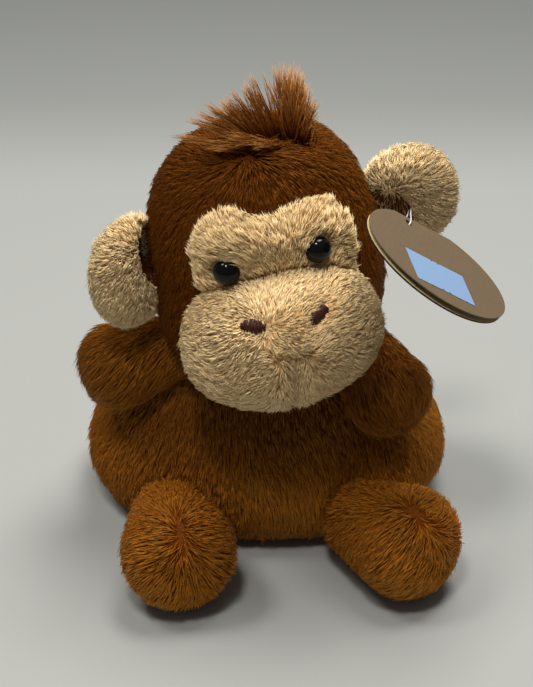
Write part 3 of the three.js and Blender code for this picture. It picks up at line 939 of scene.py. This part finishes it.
patch = head_skin.copy()
patch.data = head_skin.data.copy()
patch.name = "face_backing"
bpy.context.scene.collection.objects.link(patch)
pick_out(patch)
bpy.ops.object.mode_set(mode="EDIT")
bpy.ops.mesh.select_all(action="SELECT")
bpy.ops.mesh.subdivide(number_cuts=1, smoothness=0)
bpy.ops.mesh.select_all(action="DESELECT")
bpy.ops.object.mode_set(mode="OBJECT")
edge_gap = face_distance(threes(patch.data.vertices, "co"))
for vertex, gap in zip(patch.data.vertices, edge_gap):
    vertex.select = bool(gap > 0)
bpy.ops.object.mode_set(mode="EDIT")
bpy.ops.mesh.delete(type="VERT")
bpy.ops.object.mode_set(mode="OBJECT")
places = threes(patch.data.vertices, "co")
brow = np.exp(-((in_head(places)[:, 2] - brow_height) / brow_width) ** 2)
brow *= np.clip(-face_distance(places) / brow_edge, 0, 1)
for vertex, share in zip(patch.data.vertices, brow.tolist()):
    vertex.co += (patch_lift + brow_depth * share) * vertex.normal
modify(patch, "SOLIDIFY", thickness=patch_rise, offset=1)
patch.data.materials.clear()
patch.data.materials.append(beige_backing)
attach(patch, "head")
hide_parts("face_patch")


def comb_face(roots, normals):
    away = unit(in_head(roots) - face_middle)
    away[:, 2] += face_up
    return turned(head_matrix, away) + swept(roots, size=0.004, amount=0.6, seed=80)


def keep_face(roots):
    """Leaves out the roots under the eyes and the muzzle, and those on the patch's back."""
    local = in_head(roots)
    free = apart_from([head_skin], patch_clear)(roots)
    free &= apart_from([muzzle_skin], patch_muzzle_clear)(roots)
    for x, z in eye_spots:
        free &= (local[:, 0] - x) ** 2 + (local[:, 2] - z) ** 2 > eye_clear ** 2
    return free


plant_pile(
    ["face_pile"], patch, beige_pile, comb_face, "head", face_shaded_strands, 81, keep_face)


# Ears
# Two round lobes of the beige plush, cupped towards the face, stuffed thinly and sewn to the
# sides of the head at their roots.
ear_half = (0.0138, 0.0062, 0.0150)
ear_out = 0.0087
ear_roots = {"ear_left": (0.0300, 0, 0.0012), "ear_right": (0.0281, 0, 0.003)}
ear_hollow_depth = 0.0085
ear_wall = 0.0012
ear_lobe = 0.009
ear_hollows = {
    "ear_left": dict(out=0.0012, up=-0.0055, across=0.0088, tall=0.0112),
    "ear_right": dict(out=-0.0015, up=0.0005, across=0.0095, tall=0.0105)}
ear_folds = {"ear_left": (1, -4), "ear_right": (-1, 40)}
# Painted light: each ear's beige pile is lifted to a lighter tone, the left ear's most.
ear_painted_light = {"ear_left": 0.3, "ear_right": 0.05}
ear_middle = np.array((0.004, 0, 0.003))
ear_flatness = np.array((1, 0.4, 1))
ear_clear = 0.0006
hollow_edge = 0.45
hollow_trim = 0.6
hollow_front = 0.4


def ear_frame(name, side, fold):
    """An ear's own frame: outwards from its root along X, and its back towards Y."""
    x, y, z = ear_roots[name]
    return (
        head_matrix @ Matrix.Translation((side * x, y, z)) @ Matrix.Diagonal((side, 1, 1, 1))
        @ Matrix.Rotation(math.radians(-fold), 4, "Z"))


def in_hollow(name, x, z):
    """How deep in an ear's hollow a place is, from 0 to 1."""
    hollow = ear_hollows[name]
    across = (x - hollow["out"]) / hollow["across"]
    tall = (z - hollow["up"]) / hollow["tall"]
    return np.exp(-across ** 2 - tall ** 2)


for number, (name, (side, fold)) in enumerate(ear_folds.items()):
    own = ear_frame(name, side, fold)
    skin = stuffed(
        f"{name}_backing", *(half - beige_depth for half in (*ear_half, ear_half[2])), power=2.1)
    for vertex in skin.data.vertices:
        low = max(0, -vertex.co.z / ear_half[2])
        inner = min(1, max(0, -vertex.co.x / ear_half[0]))
        vertex.co.x += ear_out - ear_lobe * low * inner
        x, y, z = vertex.co
        if y < 0:
            pushed = y + ear_hollow_depth * in_hollow(name, x, z)
            vertex.co.y = min(pushed, max(y, -y - ear_wall))
    skin.data.transform(own)
    if side < 0:
        skin.data.flip_normals()
    press(skin, head_skin, beige_gap)
    skin.data.materials.append(beige_backing)
    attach(skin, name)
    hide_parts(name)
    off_head = apart_from([head_skin], ear_clear)

    def comb_ear(roots, normals):
        away = unit((moved(own.inverted(), roots) - ear_middle) * ear_flatness)
        return turned(own, away) + swept(roots, size=0.005, amount=0.35, seed=90)

    def cupped(roots):
        """Tells which roots lie in the ear's hollow, on its front."""
        x, y, z = moved(own.inverted(), roots).T
        bulge = 1 - ((x - ear_out) / ear_half[0]) ** 2 - (z / ear_half[2]) ** 2
        thick = np.maximum(bulge, 0) ** 0.5
        front = y < (ear_half[1] - beige_depth) * thick - hollow_front * ear_wall
        return (in_hollow(name, x, z) > hollow_edge) & front

    # The beige pile on the ear gets its painted light.
    plant_pile(
        [f"{name}_pile"], skin, beige_pile, comb_ear, name, beige_strands,
        91 + number, lambda roots: ~cupped(roots) & off_head(roots),
        shade=lambda roots: np.full(len(roots), ear_painted_light[name]))
    # The hollow on each ear's front gets the head's darker brown pile: in part the head's fur
    # reaching into the hollow, and in part painted shade in the hollow.
    plant_pile(
        [f"{name}_hollow_pile"], skin, brown_pile, comb_ear, name,
        brown_strands["head"], 95 + number, lambda roots: cupped(roots) & off_head(roots),
        lambda roots: np.full(len(roots), hollow_trim))


# Hair
# A tuft of the brown pile left long on the crown and gathered at its root. One half stands
# up, and the other is swept to the side.
crown = Vector((0.005, -0.006, 0.0318))
# Each lock: its root and tip from the crown in millimetres, its strands and their splay.
locks = [
    ((6, -1), (3.8, -1, 16.5), 60, 0.6), ((6.5, -1), (6.8, -1, 17.8), 120, 0.8),
    ((7, 0), (9.5, 0, 16.5), 150, 1.1), ((7.5, 0), (11.7, 0, 15.2), 160, 1.1),
    ((8, 0), (13, 1, 12.9), 150, 1.2), ((8, -1), (13.4, 0, 9.5), 140, 1.3),
    ((8, -1), (15, 0, 5.7), 120, 1.3), ((8, -1), (14, -1, 2.8), 100, 1.2),
    ((6.5, 2), (10, 5, 13), 140, 2.2), ((3, -1), (0.3, -2, 18), 70, 0.45),
    ((2, -1), (-1.3, -2, 16.3), 80, 0.5), ((2, -1), (-2.6, -2, 15.4), 80, 0.5),
    ((1, 0), (-5, -2, 14.7), 100, 0.6), ((0, -1), (-6.6, -2, 13.6), 110, 0.6),
    ((0, 0), (-8.5, -2, 12.4), 110, 0.7), ((-1, -1), (-12.1, -1, 12.6), 100, 0.6),
    ((-2, 0), (-15, -1, 10.6), 110, 0.7), ((-2, -1), (-17.2, -2, 9.6), 110, 0.7),
    ((-4, -1), (-21.5, -3, 6.5), 120, 0.7), ((-2, 2), (-10, 3, 9), 150, 1.8),
    ((0, -3), (-9, -6, 5), 140, 1.6), ((3, -4), (-3, -9, 3), 120, 1.6),
    ((-3, -3), (-14, -5, 4), 120, 1.4)]
hair_stations = (0, 0.3, 0.6, 0.85, 1)
hair_share = 0.8
hair_root_spread = 1.3
hair_root_flat = (1, 0.8, 0)
hair_root_depth = 2.2
hair_root_curve = 0.012
hair_root_top = -5
hair_splay = 0.75
hair_lengths = (0.35, 1.03)
hair_length_bias = 0.7
hair_bend = 0.38
hair_arch = 1.6
hair_width = 0.00023
hair_width_range = (0.7, 1.3)
hair_taper = 0.55
hair_tone = 0.55
hair_strand_tone = 0.18
hair_lock_tone = 0.1
low_tip = 5.5
low_dark = 0.35
# The root's tone is painted shade and the tip's tone is a painted sheen.
hair_strands = pile_material(
    "hair pile",
    ((0.06, 0.0105, 0.0005), (0.24, 0.053, 0.0025), (0.50, 0.145, 0.010), (0.72, 0.38, 0.11)),
    root_height=0.7, roughness=0.4, shine=0.12)


def plant_hair():
    """Strands that arch from their roots in the crown to the tips of their locks."""
    rng = np.random.default_rng(101)
    lines = [[] for _ in hair_stations]
    tones = []
    for (root_x, root_y), tip, count, splay in locks:
        count = int(count * hair_share)
        stray = rng.normal(0, hair_root_spread, (count, 3)) * hair_root_flat
        root = np.array((root_x, root_y, 0)) + stray
        off_top = (root[:, 0] - hair_root_top) ** 2 + root[:, 1] ** 2
        root[:, 2] = -hair_root_depth - hair_root_curve * off_top
        end = np.array(tip) + rng.normal(0, 1, (count, 3)) * splay * hair_splay
        grown = rng.uniform(*hair_lengths, count)[:, None] ** hair_length_bias
        end = root + (end - root) * grown
        middle = root * (1 - hair_bend) + end * hair_bend + np.array((0, 0, hair_arch))
        for line, share in zip(lines, hair_stations):
            line.append(
                (1 - share) ** 2 * root + 2 * share * (1 - share) * middle + share ** 2 * end)
        tone = hair_tone - (low_dark if tip[2] < low_tip else 0)
        tone = tone + hair_strand_tone * rng.normal(size=count) + hair_lock_tone * rng.normal()
        tones.append(np.clip(tone, 0.02, 0.98))
    matrix = head_matrix @ Matrix.Translation(crown)
    lines = [moved(matrix, np.concatenate(line) * 1e-3) for line in lines]
    tones = np.concatenate(tones)
    width = hair_width * rng.uniform(*hair_width_range, len(tones))
    widths = [width * (1 - hair_taper * share) for share in hair_stations[:-1]]
    front = np.tile(np.array(head_matrix)[:3, 1], (len(tones), 1))
    hair = strands("hair", lines, widths, front, tones, hair_stations, hair_strands)
    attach(hair, "head")
    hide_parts("hair_tuft")


plant_hair()


# Eyes
# Two black moulded domes, each with a thin rim and a shank that goes through the plush to a
# washer inside the head.
eye_places = dict(zip(("eye_right", "eye_left"), eye_spots))
eye_radius = 0.0034
eye_dome = 0.0030
eye_rim = 0.0005
eye_lift = 0.0005
shank_radius = 0.0011
shank_length = 0.008
crease = math.radians(50)
before_face = -0.08
scuff_scale = 900
eye_black = (0.002, 0.002, 0.002, 1)
eye_worn = (0.006, 0.006, 0.006, 1)
eye_material, tree, shader = new_material("black plastic")
scuffs = texture(tree, "Noise", "Fac", Scale=scuff_scale, Detail=6)
feed(tree, shader, {
    "Base Color": mixed(tree, scuffs, eye_black, eye_worn),
    "Roughness": mapped(tree, scuffs, 0.35, 0.75, 0.03, 0.12), "Specular IOR Level": 0.22})


def facing(skin, x, z):
    """Where a skin's front lies at a place in the head's frame, the way that it faces, and the
    turn that stands a piece on it."""
    tree = BVHTree.FromObject(skin, bpy.context.evaluated_depsgraph_get())
    start = head_matrix @ Vector((x, before_face, z))
    onward = head_matrix.to_3x3() @ Vector((0, 1, 0))
    point, normal, _, _ = tree.ray_cast(start, onward)
    return point, normal, Vector((0, 0, 1)).rotation_difference(normal).to_matrix().to_4x4()


for name, (x, z) in eye_places.items():
    eye = start_piece(
        f"{name}_dome", bpy.ops.mesh.primitive_uv_sphere_add, segments=40, ring_count=24, radius=1)
    for vertex in eye.data.vertices:
        vertex.co.x *= eye_radius
        vertex.co.y *= eye_radius
        vertex.co.z *= eye_dome if vertex.co.z > 0 else eye_rim
    bpy.ops.object.mode_set(mode="EDIT")
    bpy.ops.mesh.select_all(action="DESELECT")
    bpy.ops.object.mode_set(mode="OBJECT")
    for face in eye.data.polygons:
        face.select = face.normal.z < -0.5 and face.center.xy.length < shank_radius
    bpy.ops.object.mode_set(mode="EDIT")
    bpy.ops.mesh.extrude_region_move(TRANSFORM_OT_translate={"value": (0, 0, -shank_length)})
    bpy.ops.object.mode_set(mode="OBJECT")
    bpy.ops.object.shade_smooth_by_angle(angle=crease)
    point, normal, turn = facing(patch, x, z)
    eye.data.transform(Matrix.Translation(point + eye_lift * normal) @ turn)
    eye.data.materials.append(eye_material)
    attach(eye, "head")
    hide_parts(name)


# Nostrils
# Two slanted ovals of dark brown satin stitch, worked straight on the muzzle's plush. Each is a
# row of threads side by side, uneven at their ends.
nostril_half = (0.0031, 0.0012)
nostril_places = dict(zip(("nostril_left", "nostril_right"), nostril_spots))
nostril_lift = 0.0004
stitch_rows = 17
stitch_stations = 7
stitch_radius = 0.00021
stitch_past = 0.0003
stitch_uneven = (0.8, 1.2)
stitch_tilt = 0.00025
stitch_bulge = 0.0007
stitch_round = 0.6
stitch_edge_drop = 0.4
stitch_sink = 0.0003
ply_scale = 2500
thread_dark = (0.02, 0.005, 0.003, 1)
thread_light = (0.085, 0.02, 0.011, 1)
stitch_material, tree, shader = new_material("satin stitch")
plies = texture(tree, "Noise", "Fac", Scale=ply_scale)
feed(tree, shader, {
    "Base Color": mixed(tree, plies, thread_dark, thread_light), "Roughness": 0.5,
    "Specular IOR Level": 0.2})


def curve_piece(name, rows, kind="POLY", closed=False, **settings):
    """A mesh made from a curve that has a spline through each row of points."""
    curve = bpy.data.curves.new(name, "CURVE")
    for setting, value in settings.items():
        setattr(curve, setting, value)
    for row in rows:
        spline = curve.splines.new(kind)
        spline.points.add(len(row) - 1)
        for spot, point in zip(spline.points, row):
            spot.co = (*point, 1)
        spline.use_cyclic_u = closed
    pick_out(add_piece(name, curve))
    bpy.ops.object.convert(target="MESH")
    return bpy.context.object


def join(pieces, name):
    pick_out(pieces[0])
    for piece in pieces:
        piece.select_set(True)
    bpy.ops.object.join()
    pieces[0].name = pieces[0].data.name = name
    return pieces[0]


stitch_rng = np.random.default_rng(7)
for name, (x, z, slant) in nostril_places.items():
    point, normal, turn = facing(muzzle_skin, x, z)
    level_way = turn.inverted().to_3x3() @ (head_matrix.to_3x3() @ Vector((1, 0, 0)))
    spin = math.atan2(level_way.y, level_way.x)
    own = (
        Matrix.Translation(point + nostril_lift * normal) @ turn
        @ Matrix.Rotation(spin + math.radians(slant), 4, "Z"))
    threads = []
    for row in range(stitch_rows):
        along = -1 + 2 * (row + 0.5) / stitch_rows
        reach = nostril_half[1] * math.sqrt(1 - along ** 2) + stitch_past
        low = -reach * stitch_rng.uniform(*stitch_uneven)
        high = reach * stitch_rng.uniform(*stitch_uneven)
        tilt = stitch_rng.uniform(-stitch_tilt, stitch_tilt)
        points = []
        for share in np.linspace(0, 1, stitch_stations):
            rise = math.sin(share * math.pi) ** stitch_round * (1 - stitch_edge_drop * along ** 2)
            points.append((
                along * nostril_half[0] + tilt * (share - 0.5) * 2, low + (high - low) * share,
                stitch_bulge * rise - stitch_sink))
        threads.append(curve_piece(
            f"{name}_thread", [points], dimensions="3D", bevel_depth=stitch_radius,
            bevel_resolution=2, use_fill_caps=True))
    stitches = join(threads, f"{name}_stitches")
    stitches.data.transform(own)
    bpy.ops.object.shade_smooth()
    stitches.data.materials.append(stitch_material)
    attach(stitches, "head")
    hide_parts(name)


# Hang tag
# One oval card, folded along its top edge, of brown kraft board with a dark printed back. It
# hangs on a loop of clear filament from the left ear, and a blank blue sticker is stuck on it.
tag_half = (0.022, 0.0163)
tag_fold = 0.0146
board = 0.00035
back_board = 0.0005
board_edge = 0.00005
leaf_gap = 0.00025
leaf_angle = 1.9
tag_hole = (-0.0056, 0.0122)
hole_radius = 0.0011
rim_steps = 96
hole_steps = 24
tag_along = Vector((0.774, 0.266, -0.574)).normalized()
tag_facing = tag_along.cross(Vector((-0.194, 0.963, 0.185))).normalized()
tag_upward = tag_facing.cross(tag_along)
hole_point = Vector(joints["tag_swing"]["pos_m"])
tag_turn = Matrix((tag_along, tag_upward, tag_facing)).transposed().to_4x4()
tag_matrix = (
    Matrix.Translation(hole_point) @ tag_turn
    @ Matrix.Translation((-tag_hole[0], -tag_hole[1], 0)))


def kraft_material(name, dark, light, fleck):
    """Recycled board: fine pulp, pale and dark flecks, and a matt face."""
    material, tree, shader = new_material(name)
    place = add_node(tree, "TexCoord")["Object"]
    pressed = add_node(tree, "Mapping", {"Vector": place, "Scale": (1, 1, 2.4)})["Vector"]
    pulp = add_node(tree, "TexNoise", {"Vector": pressed, "Scale": 1700, "Detail": 8})["Fac"]
    flecks = add_node(tree, "TexVoronoi", {"Vector": pressed, "Scale": 1100})["Distance"]
    spots = mapped(tree, flecks, 0.08, 0.2, 0.55, 0)
    plain = mixed(tree, pulp, (*dark, 1), (*light, 1))
    bump = add_node(tree, "Bump", {"Height": pulp, "Distance": 0.00003})["Normal"]
    feed(tree, shader, {
        "Base Color": mixed(tree, spots, plain, (*fleck, 1)), "Normal": bump,
        "Roughness": 0.75, "Specular IOR Level": 0.25})
    return material


def tag_leaf(name, thick):
    """An oval board, cut straight at the fold and punched with a hole."""
    rim, bore = [], []
    for step in range(rim_steps):
        angle = 2 * math.pi * step / rim_steps
        rim.append((
            tag_half[0] * math.cos(angle), min(tag_half[1] * math.sin(angle), tag_fold), 0))
    for step in range(hole_steps):
        angle = 2 * math.pi * step / hole_steps
        bore.append((
            tag_hole[0] + hole_radius * math.cos(angle),
            tag_hole[1] + hole_radius * math.sin(angle), 0))
    return curve_piece(
        name, [rim, bore], closed=True, dimensions="2D", fill_mode="BOTH",
        extrude=thick / 2 - board_edge, bevel_depth=board_edge)


kraft = kraft_material(
    "kraft board", (0.12, 0.08, 0.042), (0.21, 0.145, 0.082), (0.07, 0.043, 0.022))
inner_print = kraft_material(
    "inner print", (0.62, 0.50, 0.20), (0.78, 0.66, 0.34), (0.5, 0.4, 0.12))
back_print = kraft_material(
    "back print", (0.022, 0.006, 0.006), (0.045, 0.012, 0.011), (0.08, 0.03, 0.02))
leaf_shift = (leaf_gap + board) / 2
front_leaf = tag_leaf("tag_front", board)
front_leaf.data.transform(tag_matrix @ Matrix.Translation((0, 0, leaf_shift)))
front_leaf.data.materials.append(kraft)
back_leaf = tag_leaf("tag_back", back_board)
back_leaf.data.materials.append(back_print)
back_leaf.data.materials.append(inner_print)
for face in back_leaf.data.polygons:
    face.material_index = 1 if face.normal.z > 0.5 else 0
open_leaf = (
    Matrix.Translation((0, tag_fold, 0)) @ Matrix.Rotation(math.radians(leaf_angle), 4, "X")
    @ Matrix.Translation((0, -tag_fold, 0)))
back_leaf.data.transform(tag_matrix @ open_leaf @ Matrix.Translation((0, 0, -leaf_shift)))
for leaf in (front_leaf, back_leaf):
    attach(leaf, "tag")
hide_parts("hang_tag")

fold_sides = 20
fold_overlap = 0.0001
fold_radius = (2 * board + leaf_gap) / 2
fold_reach = tag_half[0] * math.sqrt(1 - (tag_fold / tag_half[1]) ** 2)
fold = start_piece(
    "tag_fold", bpy.ops.mesh.primitive_cylinder_add, vertices=fold_sides,
    radius=fold_radius, depth=2 * fold_reach, rotation=(0, math.pi / 2, 0))
bpy.ops.object.transform_apply(location=True, rotation=True, scale=True)
bpy.ops.object.mode_set(mode="EDIT")
bpy.ops.mesh.select_all(action="SELECT")
bpy.ops.mesh.bisect(
    plane_co=(0, -fold_overlap, 0), plane_no=(0, 1, 0), use_fill=True, clear_inner=True)
bpy.ops.object.mode_set(mode="OBJECT")
fold.data.transform(tag_matrix @ Matrix.Translation((0, tag_fold, 0)))
bpy.ops.object.shade_smooth_by_angle(angle=crease)
fold.data.materials.append(kraft)
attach(fold, "tag")


# Sticker
# A price gun's paper label, left blank, with its small cuts at the middle of both long edges.
sticker_half = (0.0095, 0.0055)
sticker_middle = (-0.002, -0.0063)
sticker_thick = 0.0001
sticker_lift = 0.00008
notch = 0.0005
notch_places = (-0.0011, 0.0011)
edge = [(-sticker_half[0], -sticker_half[1], 0)]
for level_y, way in ((-sticker_half[1], 1), (sticker_half[1], -1)):
    for place_x in sorted(notch_places, reverse=way < 0):
        edge += [
            (place_x - way * notch, level_y, 0), (place_x, level_y + way * notch, 0),
            (place_x + way * notch, level_y, 0)]
    edge.append((way * sticker_half[0], level_y, 0))
    if way > 0:
        edge.append((sticker_half[0], sticker_half[1], 0))
sticker = curve_piece(
    "sticker", [edge], closed=True, dimensions="2D", fill_mode="BOTH", extrude=sticker_thick / 2)
sticker.data.transform(tag_matrix @ Matrix.Translation(
    (*sticker_middle, leaf_gap / 2 + board + sticker_lift)))
sticker.data.materials.append(kraft_material(
    "blue paper", (0.215, 0.33, 0.52), (0.26, 0.38, 0.57), (0.19, 0.30, 0.49)))
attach(sticker, "tag")
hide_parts("price_sticker")


# Filament
# A thin loop of clear nylon through the ear's root and the card's hole, closed in a small bead.
filament_radius = 0.00018
filament_bead = 0.0008
bead_round = 0.0003
bead_out = 0.0006
ear_anchor = hole_point + Vector((0.0028, 0.0232, -0.0078))
toward_ear = (ear_anchor - hole_point).normalized()


def plain_material(name, dark, light, scale, roughness, depth):
    """A plain finish: one tone with a fine grain."""
    material, tree, shader = new_material(name)
    grain = texture(tree, "Noise", "Fac", Scale=scale, Detail=5)
    bump = add_node(tree, "Bump", {"Height": grain, "Distance": depth})["Normal"]
    feed(tree, shader, {
        "Base Color": mixed(tree, grain, (*dark, 1), (*light, 1)), "Normal": bump,
        "Roughness": roughness})
    return material


# Each point of the loop: where it starts from, and how far it then lies towards the ear, up the
# card and out of the card.
loop_points = [
    start + along * toward_ear + up * tag_upward + out * tag_facing
    for start, along, up, out in (
        (hole_point, 0, -0.0006, 0.0009), (hole_point, 0.003, 0, 0.0012),
        (hole_point, 0.010, 0, 0.0007), (ear_anchor, 0, 0, 0.0006), (ear_anchor, 0, 0, -0.0006),
        (hole_point, 0.010, 0, -0.0006), (hole_point, 0, 0.0036, -0.0017),
        (hole_point, 0, -0.0006, -0.0016))]
filament = curve_piece(
    "filament", [loop_points], "NURBS", closed=True, dimensions="3D",
    bevel_depth=filament_radius, bevel_resolution=3, resolution_u=10)
bead = start_piece("bead", bpy.ops.mesh.primitive_cube_add, size=2 * filament_bead)
modify(bead, "BEVEL", width=bead_round, segments=3)
bead.data.transform(Matrix.Translation(ear_anchor + bead_out * tag_facing))
filament = join([filament, bead], "filament")
bpy.ops.object.shade_smooth()
filament.data.materials.clear()
filament.data.materials.append(plain_material(
    "filament nylon", (0.74, 0.74, 0.73), (0.86, 0.86, 0.85), 900, 0.3, 0.00003))
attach(filament, "ear_left")
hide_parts("tag_fastener")


# Care label
# A blank ribbon of white satin, folded in two and sewn into the seam low on the back.
label_width = 0.013
label_reach = 0.014
label_root = 0.002
label_thick = 0.00012
label_loft = 0.0004
label_least_loft = 0.4
label_mouth = 8
label_rows_bias = 1.6
label_wave = 0.00025
label_wave_turns = (5, 300)
label_curl = 0.0022
label_height = 0.012
label_slope = 38
label_sewn = 0.0015
label = start_piece(
    "care_ribbon", bpy.ops.mesh.primitive_grid_add, x_subdivisions=12, y_subdivisions=72, size=1)
run = label_reach + label_root
for vertex in label.data.vertices:
    share = 2 * vertex.co.y
    back = math.copysign(1, share)
    along = run * (1 - abs(share) ** label_rows_bias) - label_root
    swell = math.sin(math.pi * min(1, max(0, (along + label_root) / run)) ** 0.7)
    loft = back * label_loft * min(1, abs(share) * label_mouth) ** 0.5
    loft *= label_least_loft + (1 - label_least_loft) * swell
    wave = label_wave * math.sin(
        vertex.co.x * label_wave_turns[0] + along * label_wave_turns[1])
    curl = label_curl * max(0, along / label_reach) ** 2
    vertex.co = (vertex.co.x * label_width, along, loft + wave - curl)
modify(label, "SOLIDIFY", thickness=label_thick)
bpy.ops.object.shade_smooth()
back_of_body = BVHTree.FromObject(body_skin, bpy.context.evaluated_depsgraph_get())
label_seat = back_of_body.ray_cast(Vector((0, 0.1, label_height)), Vector((0, -1, 0)))[0]
label.data.transform(
    Matrix.Translation(label_seat + Vector((0, label_sewn, 0)))
    @ Matrix.Rotation(math.radians(-label_slope), 4, "X"))
label.data.materials.append(plain_material(
    "satin ribbon", (0.70, 0.69, 0.66), (0.80, 0.79, 0.77), 2600, 0.35, 0.00004))
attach(label, "body")
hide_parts("care_label")


# Inside
# White polyester fibre in the head, muzzle, body and limbs, a cloth pouch of plastic pellets in
# the seat, and a plastic washer pushed on to each eye's shank.
fibre = plain_material("polyester fibre", (0.62, 0.62, 0.6), (0.85, 0.85, 0.83), 800, 0.9, 0.0003)
pouch = plain_material("pouch cloth", (0.35, 0.34, 0.31), (0.5, 0.49, 0.45), 1500, 0.85, 0.0002)
washer_plastic = plain_material(
    "washer plastic", (0.6, 0.6, 0.58), (0.66, 0.66, 0.64), 500, 0.4, 0.00003)
stuffings = [f"{part}_stuffing" for part in ("body", "head", "muzzle", *limb_places)]
for finish, names in (
        (fibre, stuffings), (pouch, ["bean_bag"]),
        (washer_plastic, ["eye_washer_left", "eye_washer_right"])):
    for name in names:
        for slot in frame["nodes"][name].material_slots:
            slot.material = finish
